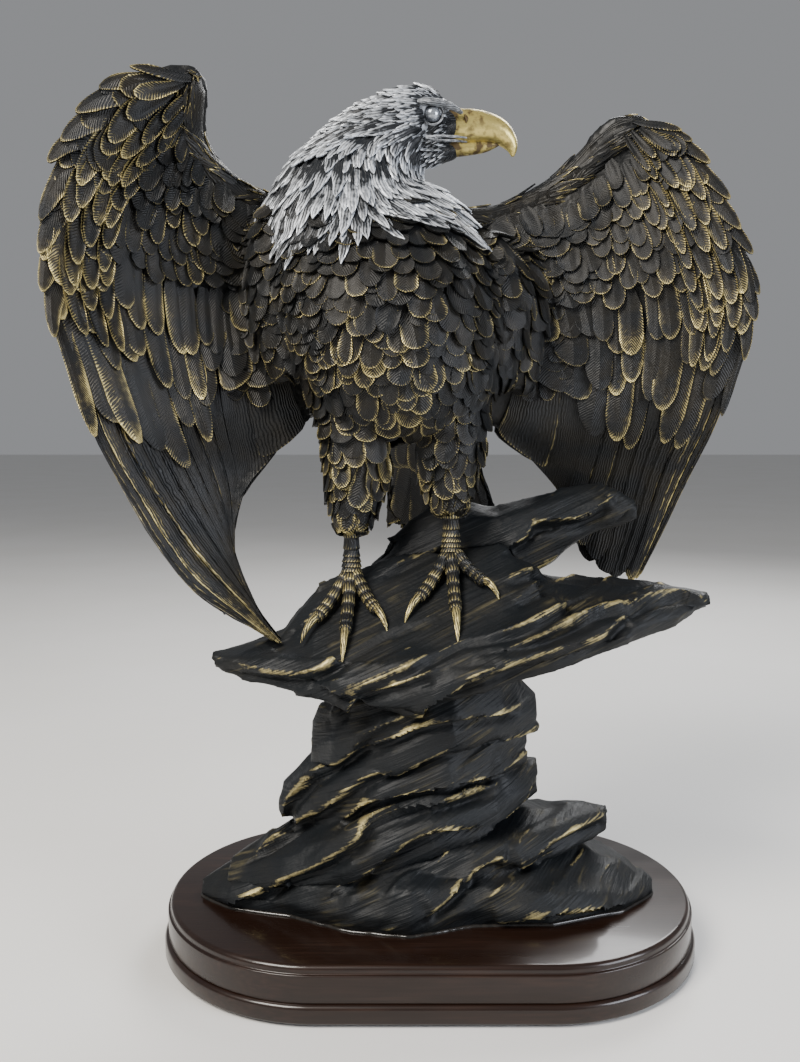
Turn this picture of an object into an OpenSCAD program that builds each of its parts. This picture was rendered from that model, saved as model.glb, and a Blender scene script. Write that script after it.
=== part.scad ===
// Eagle statuette: a bronze-finish eagle with raised wings, perched on a layered
// rock outcrop, on a two-board wooden plinth with round ends.
// Origin: middle of the plinth, at the surface that the foot pads stand on.
// +Z up, -Y the front, +X to the right of someone facing the front.
// Right and left in names are the eagle's own: its right wing points to -X.

/* [Plinth] */
// Length of the lower board, end to end
plinth_l = 216; // [190:1:270]
// Depth of the lower board, front to back
plinth_w = 132; // [110:1:165]
// Thickness of the lower board
lower_board_h = 7; // [5:0.5:12]
// Thickness of the upper board, up to its flat top
upper_board_h = 13.5; // [11:0.5:20]
// How far the upper board's side is set back from the lower board's
board_step = 1.5; // [0.5:0.5:4]
// Radius of the rounded edges of both boards
board_edge_r = 2; // [1:0.5:3]
// Width and height of the small step cut under the top edge
lip_step = 1; // [0.5:0.5:2]
// Height of the lip above that step
lip_h = 3; // [2:0.5:4]
// Diameter of a foot pad
pad_d = 16; // [10:1:22]
// Thickness of a foot pad
pad_h = 1.5; // [1:0.5:4]
// Distance of an outer pad's centre from the nearest side
pad_inset = 28; // [20:1:34]

/* [Rock] */
// Length of the rock's foot, left to right
rock_l = 182; // [150:1:200]
// Depth of the rock, front to back
rock_w = 84; // [72:1:96]
// Height of the perch above the plinth, under the middle of the feet
perch_h = 129; // [105:1:160]
// Rise of the perch's top to the right, as a slope
perch_rise = 0.2; // [0.1:0.05:0.3]
// Fall of the perch's top towards the front, as a slope
perch_fall = 0.7; // [0.5:0.05:0.8]

/* [Eagle] */
// Height of the eagle from the perch to its crown
eagle_h = 187; // [150:1:230]
// Thickness of the wings at the forearm
wing_t = 12; // [9:0.5:15]
// Diameter of the bare lower leg
tarsus_d = 8; // [7:0.5:10]
// Diameter of an eye
eye_d = 6; // [4:0.5:7]

/* [Fixings] */
// Diameter of the pins between the castings
pin_d = 4; // [3:0.5:5]
// Diameter of the rods through the legs
rod_d = 3; // [2:0.5:4]
// Gap around a pin, rod, bolt or screw, on its diameter
fit_gap = 0.2; // [0.1:0.1:0.4]
// Gap between the toes and the perch
toe_gap = 0.2; // [0.1:0.1:0.5]
// Thread diameter of the bolts that hold the rock on the plinth
bolt_d = 6; // [5:1:8]
// Distance between the two bolts
bolt_spacing = 60; // [50:1:70]
// How far a bolt reaches into the rock
bolt_grip = 11; // [8:1:14]
// Diameter of the screws between the boards
screw_d = 3.5; // [3:0.5:5]
// How far a screw reaches into the upper board
screw_grip = 8; // [6:0.5:9]

/* [Hidden] */

$fn = 48;
bronze = "#2b2721";
silver = "#9a9da2";
gold = "#c9a968";
espresso = "#2a1a12";
steel = "#a8abae";
brass = "#b5995a";
tiny = 0.01;

lower_z = pad_h;
upper_z = lower_z + lower_board_h;
plinth_top = upper_z + upper_board_h;

// Bolt, washer and insert sizes that go with the thread
bolt_head_d = bolt_d * 1.65;
bolt_head_h = bolt_d * 0.66;
washer_d = bolt_d * 2;
washer_h = bolt_d * 0.25;
insert_d = bolt_d * 1.5;
screw_head_d = screw_d * 2;
screw_head_h = screw_d * 0.5;

// The rock is drawn at this size and then stretched to the values above
rock_unit = [182, 84, 129];
rock_scale = [rock_l / rock_unit.x, rock_w / rock_unit.y, perch_h / rock_unit.z];
// The middle of the feet on the perch, in the rock's own units
perch_mid = [-11, -8, rock_unit.z];
// The eagle is drawn 187 mm high from its feet and then scaled as a whole
eagle_scale = eagle_h / 187;

function mix(a, b, t) = a + (b - a) * t;

// Value between b and c on the smooth curve through a, b, c and d
function curve(a, b, c, d, t) =
    (b * 2 + (c - a) * t + (a * 2 - b * 5 + c * 4 - d) * t * t
     + (b * 3 - a - c * 3 + d) * t * t * t) / 2;

// Row at place u of a list of rows, smoothly between its neighbours
function row_at(rows, u) =
    let (last = len(rows) - 1, i = min(floor(u), last - 1))
    curve(rows[max(i - 1, 0)], rows[i], rows[i + 1], rows[min(i + 2, last)], u - i);

// The same rows with extra rows between each pair
function refined(rows, steps) =
    [for (k = [0 : (len(rows) - 1) * steps]) row_at(rows, k / steps)];

function unit(v) = v / norm(v);

// Solid skin over closed rings that have equal numbers of points
module skin(rings) {
    n = len(rings[0]);
    last = (len(rings) - 1) * n;
    sides = [for (j = [0 : len(rings) - 2]) for (i = [0 : n - 1])
             let (a = j * n + i, b = j * n + (i + 1) % n)
             each [[a, a + n, b + n], [a, b + n, b]]];
    caps = [[for (i = [0 : n - 1]) i], [for (i = [n - 1 : -1 : 0]) last + i]];
    polyhedron([for (r = rings) each r], concat(sides, caps));
}

// ---------- Places in the rock and on the eagle ----------

function rock_point(p) = [p.x * rock_scale.x, p.y * rock_scale.y, plinth_top + p.z * rock_scale.z];

eagle_origin = rock_point(perch_mid);
function eagle_point(p) = eagle_origin + p * eagle_scale;

// Height of the perch's sloping top above any place
function perch_z(x, y) =
    eagle_origin.z + perch_rise * (x - eagle_origin.x) + perch_fall * (y - eagle_origin.y);

// The same height in the rock's own units
function on_perch(x, y) =
    (perch_z(x * rock_scale.x, y * rock_scale.y) - plinth_top) / rock_scale.z;

// ---------- Plinth ----------

// One end of a board: its edge profile turned about the end's centre
module board_end(profile, side) {
    translate([side * (plinth_l - plinth_w) / 2, 0, 0])
        rotate([0, 0, side > 0 ? -90 : 90])
        rotate_extrude(angle = 180, $fn = 96) polygon(profile);
}

// The straight middle of a board, with the same edge profile front and back
module board_middle(profile) {
    straight = plinth_l - plinth_w;
    mirrored = [for (i = [len(profile) - 1 : -1 : 0]) [-profile[i].x, profile[i].y]];
    rotate([90, 0, 90])
        translate([0, 0, -straight / 2])
        linear_extrude(straight) polygon(concat(profile, mirrored));
}

module board(profile) {
    board_middle(profile);
    board_end(profile, -1);
    board_end(profile, 1);
}

// Quarter round from one direction to another, as profile points
function arc_points(cx, cy, r, from, to) =
    [for (k = [0 : 6]) let (a = mix(from, to, k / 6)) [cx + r * cos(a), cy + r * sin(a)]];

function lower_profile() =
    let (r = plinth_w / 2, e = board_edge_r)
    concat([[0, lower_z], [r - e / 2, lower_z], [r, lower_z + e / 2]],
           arc_points(r - e, upper_z - e, e, 0, 90), [[0, upper_z]]);

function upper_profile() =
    let (r = plinth_w / 2 - board_step, e = board_edge_r, lip = plinth_top - lip_h)
    concat([[0, upper_z], [r - lip_step, upper_z], [r, upper_z + lip_step], [r, lip - lip_step],
            [r - lip_step, lip]],
           arc_points(r - lip_step - e / 2, plinth_top - e, e, 0, 90), [[0, plinth_top]]);

// Four pads near the edge and one in the middle, under the weight
module at_pads() {
    children();
    for (sx = [-1, 1]) for (sy = [-1, 1])
        translate([sx * (plinth_l / 2 - pad_inset - plinth_w / 12),
                   sy * (plinth_w / 2 - pad_inset), 0]) children();
}

module at_screws() {
    for (sx = [-1, 1]) for (sy = [-1, 1])
        translate([sx * (plinth_l / 2 - pad_inset), sy * plinth_w / 8, 0]) children();
}

module at_bolts() {
    for (side = [-1, 1]) translate([side * bolt_spacing / 2, 0, 0]) children();
}

module foot_pads() {
    color("#1c1c1e") at_pads() cylinder(d = pad_d, h = pad_h);
}

module plinth_lower_board() {
    color(espresso) difference() {
        board(lower_profile());
        at_bolts() translate([0, 0, lower_z - 1])
            cylinder(d = washer_d + 2, h = lower_board_h + 2);
        at_screws() screw_solid(fit_gap);
    }
}

module plinth_upper_board() {
    color(espresso) difference() {
        board(upper_profile());
        at_bolts() translate([0, 0, upper_z - 1])
            cylinder(d = bolt_d + fit_gap, h = upper_board_h + 2);
        at_screws() screw_solid(fit_gap);
    }
}

// Countersunk screw, point up, its head flush with the lower board's underside
module screw_solid(gap) {
    r = (screw_d + gap) / 2;
    head_r = (screw_head_d + gap) / 2;
    tip = upper_z + screw_grip + gap;
    translate([0, 0, lower_z])
        rotate_extrude() polygon([[0, 0], [head_r, 0], [r, screw_head_h + gap],
            [r, tip - lower_z - screw_d / 2], [0, tip - lower_z]]);
}

module board_screws() {
    color(steel) at_screws() screw_solid(0);
}

module mounting_bolts() {
    seat = upper_z - washer_h;
    color(steel) at_bolts() {
        translate([0, 0, seat - bolt_head_h]) cylinder(d = bolt_head_d * 1.1, h = bolt_head_h, $fn = 6);
        translate([0, 0, seat - tiny])
            cylinder(d = bolt_d, h = washer_h + upper_board_h + bolt_grip + tiny);
    }
}

module mounting_washers() {
    color(steel) at_bolts() translate([0, 0, upper_z - washer_h]) difference() {
        cylinder(d = washer_d, h = washer_h);
        translate([0, 0, -1]) cylinder(d = bolt_d + fit_gap, h = washer_h + 2);
    }
}

module threaded_inserts() {
    color(brass) at_bolts() translate([0, 0, plinth_top]) difference() {
        cylinder(d = insert_d, h = bolt_grip);
        translate([0, 0, -1]) cylinder(d = bolt_d + fit_gap, h = bolt_grip + 2);
    }
}

// ---------- Rock ----------

// One layer of rock, as sections along X. A section is
// [x, front y, front top z, front thickness, crest y, crest z, back y, back top z, back thickness].
function layer_ring(s) =
    let (x = s[0], yf = s[1], zf = s[2], tf = s[3], yc = s[4], zc = s[5],
         yb = s[6], zb = s[7], tb = s[8], lip = min(3, (yb - yf) / 5))
    [for (p = [[yf + lip, zf - tf], [yb - lip, zb - tb], [yb, zb - tb / 2], [yb - lip, zb],
               [yc, zc], [yf + lip, zf], [yf, zf - tf / 2]]) rock_point([x, p[0], p[1]])];

module layer(sections) {
    skin([for (s = sections) layer_ring(s)]);
}

// A section whose top lies on the perch's sloping plane as far back as its crest
function perch_section(x, yf, tf, yc, yb, zb, tb) =
    [x, yf, on_perch(x, yf + 3), tf, yc, on_perch(x, yc), yb, zb, tb];

module rock_base_solid() {
    layer([[-92, -12, 4, 4, -6, 5, 0, 4, 4], [-78, -24, 9, 9, -6, 14, 14, 10, 10],
           [-55, -30, 13, 13, -6, 21, 26, 14, 14], [-30, -42, 15, 15, -10, 28, 36, 18, 18],
           [-8, -46, 17, 17, -12, 32, 38, 22, 22], [16, -38, 16, 16, -8, 30, 36, 24, 24],
           [45, -37, 12, 12, -6, 22, 32, 18, 18], [75, -26, 7, 7, -5, 13, 20, 12, 12],
           [90, -10, 3, 3, -5, 4, 2, 3, 3]]);
    layer([[-24, -36, 22, 14, -8, 32, 24, 28, 16], [16, -34, 27, 14, -6, 34, 22, 30, 16],
           [48, -22, 31, 10, -4, 34, 16, 31, 12], [72, -6, 33, 8, -1, 34, 6, 32, 8]]);
}

module rock_column_solid() {
    layer([[-80, -18, 13, 7, -8, 15, 4, 12, 7], [-56, -30, 23, 14, -8, 30, 16, 24, 14],
           [-30, -38, 37, 20, -8, 46, 24, 38, 22], [0, -36, 48, 22, -6, 56, 26, 48, 24],
           [24, -28, 52, 18, -4, 57, 22, 50, 18], [43, -8, 53, 11, -1, 54, 8, 52, 11]]);
    layer([[-58, -12, 43, 9, -5, 45, 4, 43, 9], [-44, -24, 54, 20, -6, 60, 16, 54, 22],
           [-20, -32, 68, 30, -6, 78, 24, 68, 34], [6, -32, 74, 30, -6, 84, 28, 74, 36],
           [26, -22, 72, 24, -4, 78, 24, 70, 28], [38, -8, 64, 14, -2, 66, 10, 63, 14]]);
    layer([[-46, -14, 68, 12, -6, 71, 4, 68, 12], [-36, -26, 82, 26, -8, 90, 16, 82, 28],
           [-14, -36, 92, 30, -8, 100, 22, 92, 34], [8, -38, 98, 30, -8, 104, 24, 96, 34],
           [26, -26, 96, 26, -6, 100, 20, 92, 28], [42, -6, 80, 12, -1, 81, 8, 79, 12]]);
}

module perch_ledge_solid() {
    layer([[-83, -24, 101, 4, -20, 102, -15, 101, 4], [-72, -30, 100, 7, -16, 104, -2, 103, 9],
           [-58, -34, 102, 10, -14, 107, 6, 107, 14],
           perch_section(-44, -40, 12, -2, 14, 118, 20), perch_section(-30, -44, 14, 2, 20, 122, 26),
           perch_section(0, -50, 15, 2, 24, 126, 30), perch_section(28, -46, 15, 0, 26, 128, 30),
           [50, -42, 117, 12, -8, 126, 22, 126, 22], [72, -37, 120, 11, -12, 126, 16, 126, 16],
           [92, -28, 122, 8, -12, 126, 8, 125, 10], [107, -16, 123, 4, -12, 124, -8, 123, 4]]);
    layer([[-44, -32, 98, 7, -10, 100, 10, 96, 8], [-10, -44, 100, 14, -12, 106, 20, 104, 20],
           [18, -50, 106, 12, -14, 112, 22, 108, 20], [44, -46, 110, 9, -16, 114, 14, 112, 14],
           [72, -38, 116, 7, -18, 117, 4, 116, 10], [82, -28, 120, 4, -22, 121, -16, 120, 5]]);
}

module rear_crag_solid() {
    layer([[-24, 2, 128, 14, 8, 134, 20, 130, 18], [-8, 2, 142, 22, 10, 150, 25, 140, 26],
           [8, 2, 154, 30, 12, 160, 27, 148, 30], [28, -2, 151, 26, 10, 157, 27, 150, 28],
           [52, 3, 158, 20, 12, 162, 24, 156, 22], [70, 6, 163, 14, 13, 165, 22, 160, 14],
           [84, 9, 158, 6, 12, 159, 17, 157, 6]]);
}

// Dowels between the rock castings: [x, y, z of the middle], in the rock's own units
dowel_length = 20;
dowels = [[-26, -6, 26], [8, -6, 30], [-14, -8, 92], [12, -10, 96], [0, 14, 126], [30, 14, 130]];

module rock_dowel_solid(gap) {
    for (d = dowels)
        translate(rock_point(d) - [0, 0, (dowel_length + gap) / 2])
            cylinder(d = pin_d + gap, h = dowel_length + gap);
}

module insert_bores() {
    at_bolts() translate([0, 0, plinth_top - 1])
        cylinder(d = insert_d + fit_gap, h = bolt_grip + 1 + fit_gap);
}

module rock_base() {
    color(bronze) difference() {
        rock_base_solid();
        insert_bores();
        rock_dowel_solid(fit_gap);
    }
}

module rock_column() {
    color(bronze) difference() {
        rock_column_solid();
        rock_base_solid();
        rock_dowel_solid(fit_gap);
    }
}

module perch_ledge() {
    color(bronze) difference() {
        perch_ledge_solid();
        rock_column_solid();
        rock_dowel_solid(fit_gap);
        leg_rod_solid(fit_gap);
    }
}

module rear_crag() {
    color(bronze) difference() {
        rear_crag_solid();
        perch_ledge_solid();
        rock_dowel_solid(fit_gap);
    }
}

module rock_dowels() {
    color(steel) rock_dowel_solid(0);
}

// ---------- Eagle ----------

// Level oval ring on the eagle: a row is [x, y, z, half width, half depth]
function oval(r, n) =
    [for (i = [0 : n - 1]) let (a = 360 * i / n)
     eagle_point([r[0] + r[3] * cos(a), r[1] + r[4] * sin(a), r[2]])];

module oval_stack(rows, steps, n) {
    skin([for (r = refined(rows, steps)) oval(r, n)]);
}

// Tube along a path in world millimetres. A row is [x, y, z, half width, half height].
function tube_ring(rows, i, n) =
    let (last = len(rows) - 1, r = rows[i],
         a = rows[max(i - 1, 0)], b = rows[min(i + 1, last)],
         along = unit([b.x - a.x, b.y - a.y, b.z - a.z]),
         side = unit(cross([0, 0.02, 1], along)), up = cross(along, side))
    [for (k = [0 : n - 1]) let (t = 360 * k / n)
     [r.x, r.y, r.z] + side * r[3] * cos(t) + up * r[4] * sin(t)];

module tube(rows, n) {
    skin([for (i = [0 : len(rows) - 1]) tube_ring(rows, i, n)]);
}

// The same tube with its rows given on the eagle
function eagle_row(r) =
    let (p = eagle_point([r.x, r.y, r.z])) [p.x, p.y, p.z, r[3] * eagle_scale, r[4] * eagle_scale];

module torso_solid() {
    oval_stack([[-1, 8, 55, 10, 8], [-1, 6, 61, 28, 24], [-1, 4, 74, 36, 32], [-3, 3, 89, 40, 36],
                [-6, 2, 105, 43, 37], [-9, 3, 121, 42, 34], [-11, 6, 135, 37, 28],
                [-13, 10, 147, 29, 21], [-15, 13, 155, 16, 12]], 2, 28);
}

module head_solid() {
    oval_stack([[-17, 6, 116, 24, 22], [-18, 5, 126, 33, 29], [-20, 6, 136, 33, 29],
                [-21, 8, 147, 28, 25], [-19, 8, 157, 25, 21], [-12, 8, 166, 24, 17],
                [-4, 7, 174, 23, 15], [2, 6, 181, 17, 12], [5, 6, 187, 6, 5]], 2, 24);
}

// A wing as level slices: [z, outer x, outer y, inner x, inner y, cup depth, share of thickness]
wing_points = 9;
function wing_slice(r) =
    let (half = r[6] * wing_t / 2)
    [for (k = [0 : 2 * wing_points - 1])
     let (front = k < wing_points,
          s = (front ? k : 2 * wing_points - 1 - k) / (wing_points - 1),
          edge = sqrt(1 - pow(2 * s - 1, 4)) * 0.85 + 0.15,
          cup = r[5] * 4 * s * (1 - s))
     eagle_point([mix(r[1], r[3], s), mix(r[2], r[4], s) + cup + (front ? -1 : 1) * half * edge, r[0]])];

// side is -1 for the wing on the -X side, whose slices run the other way round
module wing(rows, side) {
    slices = [for (r = refined(rows, 2)) wing_slice(r)];
    skin(side < 0 ? slices : [for (s = slices) [for (i = [len(s) - 1 : -1 : 0]) s[i]]]);
}

module right_wing_solid() {
    wing([[-22, -49, -10, -46, -9, 0, 0.2], [-11, -71, -14, -58, -6, 1, 0.35],
          [6, -84, -18, -65, 0, 3, 0.4], [20, -94, -21, -65, 4, 4, 0.45],
          [35, -102, -24, -64, 8, 5, 0.5], [50, -107, -27, -54, 14, 6, 0.5],
          [64, -110, -28, -32, 16, 8, 0.55], [85, -119, -31, -28, 16, 10, 0.65],
          [112, -125, -32, -28, 18, 10, 0.85], [134, -121, -29, -26, 21, 8, 1],
          [149, -118, -26, -44, 20, 7, 1.05], [158, -115, -24, -65, 13, 5, 1],
          [170, -107, -21, -73, 5, 4, 0.9], [184, -95, -16, -70, -5, 2, 0.8],
          [191, -86, -12, -74, -9, 0, 0.35]], -1);
}

module left_wing_solid() {
    wing([[-5, 103, 41, 94, 41, 0, 0.25], [5, 107, 40, 82, 40, 1, 0.4],
          [20, 112, 36, 72, 39, 2, 0.45], [36, 116, 30, 64, 36, 3, 0.5],
          [48, 119, 22, 53, 30, 5, 0.5], [58, 122, 14, 36, 23, 6, 0.55],
          [68, 124, 8, 16, 18, 8, 0.6], [88, 127, 1, 10, 16, 10, 0.7],
          [108, 131, -2, 10, 18, 10, 0.85], [132, 124, -1, 10, 21, 8, 1],
          [149, 116, 2, 40, 22, 6, 1.05], [160, 110, 4, 64, 20, 4, 1],
          [172, 101, 7, 71, 16, 2, 0.8], [180, 92, 9, 80, 12, 0, 0.35]], 1);
}

module tail_solid() {
    tube([for (r = refined([[4, 28, 84, 13, 9], [10, 40, 60, 19, 6], [15, 50, 36, 25, 4],
                            [18, 58, 14, 29, 2.5]], 3)) eagle_row(r)], 20);
}

// Where each rod runs down through its leg: x and y on the eagle
leg_x = [-20, 19];
leg_y = 0;

module right_thigh_solid() {
    oval_stack([[leg_x[0], leg_y, 20, 5, 5], [-19, 0, 28, 8, 8], [-17.5, 0, 40, 11, 11],
                [-18, -1, 58, 13, 13], [-19, 0, 76, 14, 15], [-18, 2, 88, 10, 10]], 2, 18);
}

module left_thigh_solid() {
    oval_stack([[leg_x[1], leg_y, 27, 5, 5], [18, 0, 34, 8, 8], [18, 0, 46, 11.5, 11],
                [18, -1, 60, 13.5, 13], [16, 0, 76, 14, 15], [14, 2, 88, 10, 10]], 2, 18);
}

// A toe from the knuckle to the claw's point, laid along the perch's slope.
// A row is [share of the length, radius]; the claw is its last third.
toe_rows = [[0, 4.4], [0.2, 3.6], [0.45, 3.3], [0.66, 2.9], [0.72, 2], [0.86, 1.5], [1, 0.4]];
slope_factor = norm([1, perch_rise, perch_fall]);
function toe_row(foot, tip, r) =
    let (x = mix(foot.x, tip.x, r[0]), y = mix(foot.y, tip.y, r[0]), p = eagle_point([x, y, 0]),
         half = r[1] * eagle_scale)
    [p.x, p.y, perch_z(p.x, p.y) + half * slope_factor + toe_gap, half, half];

module foot_solid(foot, tips, ankle_z) {
    base = toe_row(foot, tips[0], [0, 4]);
    ankle = eagle_point([foot.x, foot.y, ankle_z]);
    r = tarsus_d * eagle_scale / 2;
    tube([[base.x, base.y, base.z + 1, r * 1.1, r * 1.1], [ankle.x, ankle.y, ankle.z, r, r]], 16);
    for (tip = tips) tube([for (t = toe_rows) toe_row(foot, tip, t)], 10);
}

// Claw points on the perch: x and y on the eagle, outer, middle, inner and hind toe
right_tips = [[-38, -20], [-22, -31], [-6, -22], [-22, 9]];
left_tips = [[1, -20], [20, -32], [36, -18], [21, 8]];

module beak_solid() {
    tube([for (r = refined([[14, 6, 172, 7, 8.5], [24, 6, 173, 6, 8], [33, 5, 171.5, 4.5, 6],
                            [39, 4, 167.5, 3, 4], [41.5, 4, 163, 1.8, 2.4], [42, 4, 160, 0.5, 0.5]],
                           2)) eagle_row(r)], 16);
    tube([for (r = refined([[14, 6, 166, 5.5, 3.5], [23, 6, 165.5, 4.5, 2.8],
                            [31, 5, 167, 2.5, 1.2]], 2)) eagle_row(r)], 12);
}

module eye_solid() {
    for (y = [-3.5, 16.5])
        translate(eagle_point([11, y, 175])) sphere(d = eye_d * eagle_scale, $fn = 32);
}

// Round bar centred on a place of the eagle and turned about Y, then Z
module bar(at, tilt, turn, diameter, length) {
    translate(eagle_point(at)) rotate([0, tilt, turn])
        cylinder(d = diameter, h = length, center = true);
}

wing_pin_length = 22;
module right_wing_pin_solid(gap) {
    for (z = [98, 114])
        bar([-47, 14, z], 90, 15, pin_d + gap, wing_pin_length + gap);
}

module left_wing_pin_solid(gap) {
    for (z = [118, 134])
        bar([24, 20, z], 90, 0, pin_d + gap, wing_pin_length + gap);
}

module neck_pin_solid(gap) {
    bar([-15, 10, 152], 0, 0, pin_d + gap, 26 + gap);
}

module tail_pin_solid(gap) {
    bar([7, 34, 72], 29, -117, pin_d + gap, 20 + gap);
}

module beak_pin_solid(gap) {
    bar([15, 6, 172], 90, 0, rod_d + gap, 16 + gap);
}

rod_top = 96;
rod_sink = 16;
module leg_rod_solid(gap) {
    for (x = leg_x) {
        top = eagle_point([x, leg_y, rod_top]);
        low = perch_z(top.x, top.y) - rod_sink - gap / 2;
        translate([top.x, top.y, low]) cylinder(d = rod_d + gap, h = top.z - low + gap / 2);
    }
}

module torso() {
    color(bronze) difference() {
        torso_solid();
        right_wing_pin_solid(fit_gap);
        left_wing_pin_solid(fit_gap);
        neck_pin_solid(fit_gap);
        tail_pin_solid(fit_gap);
        leg_rod_solid(fit_gap);
    }
}

module head() {
    color(silver) difference() {
        head_solid();
        torso_solid();
        eye_solid();
        neck_pin_solid(fit_gap);
        beak_pin_solid(fit_gap);
    }
}

module beak() {
    color(gold) difference() {
        beak_solid();
        head_solid();
        beak_pin_solid(fit_gap);
    }
}

module eyes() {
    color(silver) eye_solid();
}

module right_wing() {
    color(bronze) difference() {
        right_wing_solid();
        torso_solid();
        head_solid();
        perch_ledge_solid();
        right_wing_pin_solid(fit_gap);
    }
}

module left_wing() {
    color(bronze) difference() {
        left_wing_solid();
        torso_solid();
        head_solid();
        left_wing_pin_solid(fit_gap);
    }
}

module tail() {
    color(bronze) difference() {
        tail_solid();
        torso_solid();
        tail_pin_solid(fit_gap);
    }
}

module right_thigh() {
    color(bronze) difference() {
        right_thigh_solid();
        torso_solid();
        leg_rod_solid(fit_gap);
    }
}

module left_thigh() {
    color(bronze) difference() {
        left_thigh_solid();
        torso_solid();
        leg_rod_solid(fit_gap);
    }
}

module right_foot() {
    color(gold) difference() {
        foot_solid([leg_x[0], leg_y], right_tips, 26);
        right_thigh_solid();
        leg_rod_solid(fit_gap);
    }
}

module left_foot() {
    color(gold) difference() {
        foot_solid([leg_x[1], leg_y], left_tips, 33);
        left_thigh_solid();
        rear_crag_solid();
        leg_rod_solid(fit_gap);
    }
}

module leg_rods() {
    color(steel) leg_rod_solid(0);
}

module right_wing_pins() {
    color(steel) right_wing_pin_solid(0);
}

module left_wing_pins() {
    color(steel) left_wing_pin_solid(0);
}

module neck_pin() {
    color(steel) neck_pin_solid(0);
}

module tail_pin() {
    color(steel) tail_pin_solid(0);
}

module beak_pin() {
    color(steel) beak_pin_solid(0);
}

foot_pads();
plinth_lower_board();
plinth_upper_board();
board_screws();
mounting_bolts();
mounting_washers();
threaded_inserts();
rock_base();
rock_column();
perch_ledge();
rear_crag();
rock_dowels();
torso();
head();
beak();
eyes();
right_wing();
left_wing();
tail();
right_thigh();
left_thigh();
right_foot();
left_foot();
leg_rods();
right_wing_pins();
left_wing_pins();
neck_pin();
tail_pin();
beak_pin();
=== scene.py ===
"""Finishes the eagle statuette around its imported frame: plumage, rock, plinth and stage."""

import math
import random
from functools import partial

import bpy
import numpy as np
from bpy.props import FloatProperty, FloatVectorProperty, IntProperty, PointerProperty
from bpy.types import Operator, Panel, PropertyGroup
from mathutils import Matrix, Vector, noise
from mathutils.bvhtree import BVHTree


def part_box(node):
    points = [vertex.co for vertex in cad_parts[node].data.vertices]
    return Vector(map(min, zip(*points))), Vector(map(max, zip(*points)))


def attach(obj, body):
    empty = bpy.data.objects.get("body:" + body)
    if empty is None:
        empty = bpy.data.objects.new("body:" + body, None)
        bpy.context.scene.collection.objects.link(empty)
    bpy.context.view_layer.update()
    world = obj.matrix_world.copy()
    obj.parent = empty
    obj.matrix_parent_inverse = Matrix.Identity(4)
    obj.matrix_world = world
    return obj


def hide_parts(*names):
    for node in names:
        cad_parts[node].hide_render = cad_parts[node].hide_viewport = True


bl_info = {
    "name": "Eagle statuette",
    "version": (1, 0, 0),
    "blender": (4, 5, 0),
    "location": "3D View > Sidebar > Eagle",
    "description": "Plumage, rock faces and lacquered plinth for the packed eagle statuette",
    "category": "Object",
}

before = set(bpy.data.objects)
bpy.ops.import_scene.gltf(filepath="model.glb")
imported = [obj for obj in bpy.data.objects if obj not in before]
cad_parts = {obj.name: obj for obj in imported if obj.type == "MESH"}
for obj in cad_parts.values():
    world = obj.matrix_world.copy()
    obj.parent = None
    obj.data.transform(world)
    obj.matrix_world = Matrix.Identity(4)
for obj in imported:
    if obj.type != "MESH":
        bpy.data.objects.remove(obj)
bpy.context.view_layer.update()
MM = 0.001


def linear(hex_colour):
    """The linear RGBA of an sRGB hex value."""
    parts = [int(hex_colour[i : i + 2], 16) / 255 for i in (1, 3, 5)]
    return tuple(p / 12.92 if p <= 0.04045 else ((p + 0.055) / 1.055) ** 2.4 for p in parts) + (1.0,)


def colour_setting(name, hex_colour, description):
    """A colour property whose default is an sRGB hex value."""
    return FloatVectorProperty(
        name=name, description=description, subtype="COLOR", size=4, min=0, max=1, default=linear(hex_colour)
    )


def length_setting(name, millimetres, description):
    """A length property whose default is given in millimetres."""
    return FloatProperty(name=name, description=description, default=millimetres * MM, min=0, unit="LENGTH")


# ---------- Settings ----------


class EAGLE_PG_plumage(PropertyGroup):
    """Sizes of the feathers."""

    scale_length: length_setting("Scale feather length", 11.5, "Length of a breast feather")
    scale_width: length_setting("Scale feather width", 8.2, "Width of a breast feather")
    scale_rows: length_setting("Scale row spacing", 5.0, "Distance between rows of breast feathers")
    hackle_length: length_setting("Hackle length", 19.0, "Length of a neck hackle")
    hackle_width: length_setting("Hackle width", 7.0, "Width of a neck hackle")
    thigh_length: length_setting("Thigh feather length", 12.0, "Length of a thigh feather")
    feather_thickness: length_setting("Feather thickness", 0.8, "Thickness of a feather at its edge")
    tip_lift: length_setting("Tip lift", 1.9, "How far a feather's tip stands off the body")
    flight_count: IntProperty(
        name="Flight feathers", description="Number of flight feathers on a wing's face", default=12, min=8
    )


class EAGLE_PG_rock(PropertyGroup):
    """Sizes of the rock's relief."""

    grain: length_setting("Grain", 1.0, "Size of the rock mesh's faces")
    stratum: length_setting("Stratum", 10.5, "Mean thickness of a stratum")
    relief: length_setting("Relief", 2.2, "How far a stratum's edge stands out")
    ledge: length_setting("Ledge", 3.0, "How far the carved ridges on the front stand out")
    glue_line: length_setting("Glue line", 0.9, "Radius of the glossy bead round the foot of the rock")


class EAGLE_PG_plinth(PropertyGroup):
    """Sizes of the plinth's edges."""

    lip_inset: length_setting("Lip inset", 1.0, "Width of the small step under the top edge")
    lip_height: length_setting("Lip height", 3.0, "Height of the lip above the step")
    edge_radius: length_setting("Edge radius", 2.0, "Radius of the boards' rounded edges")


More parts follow.
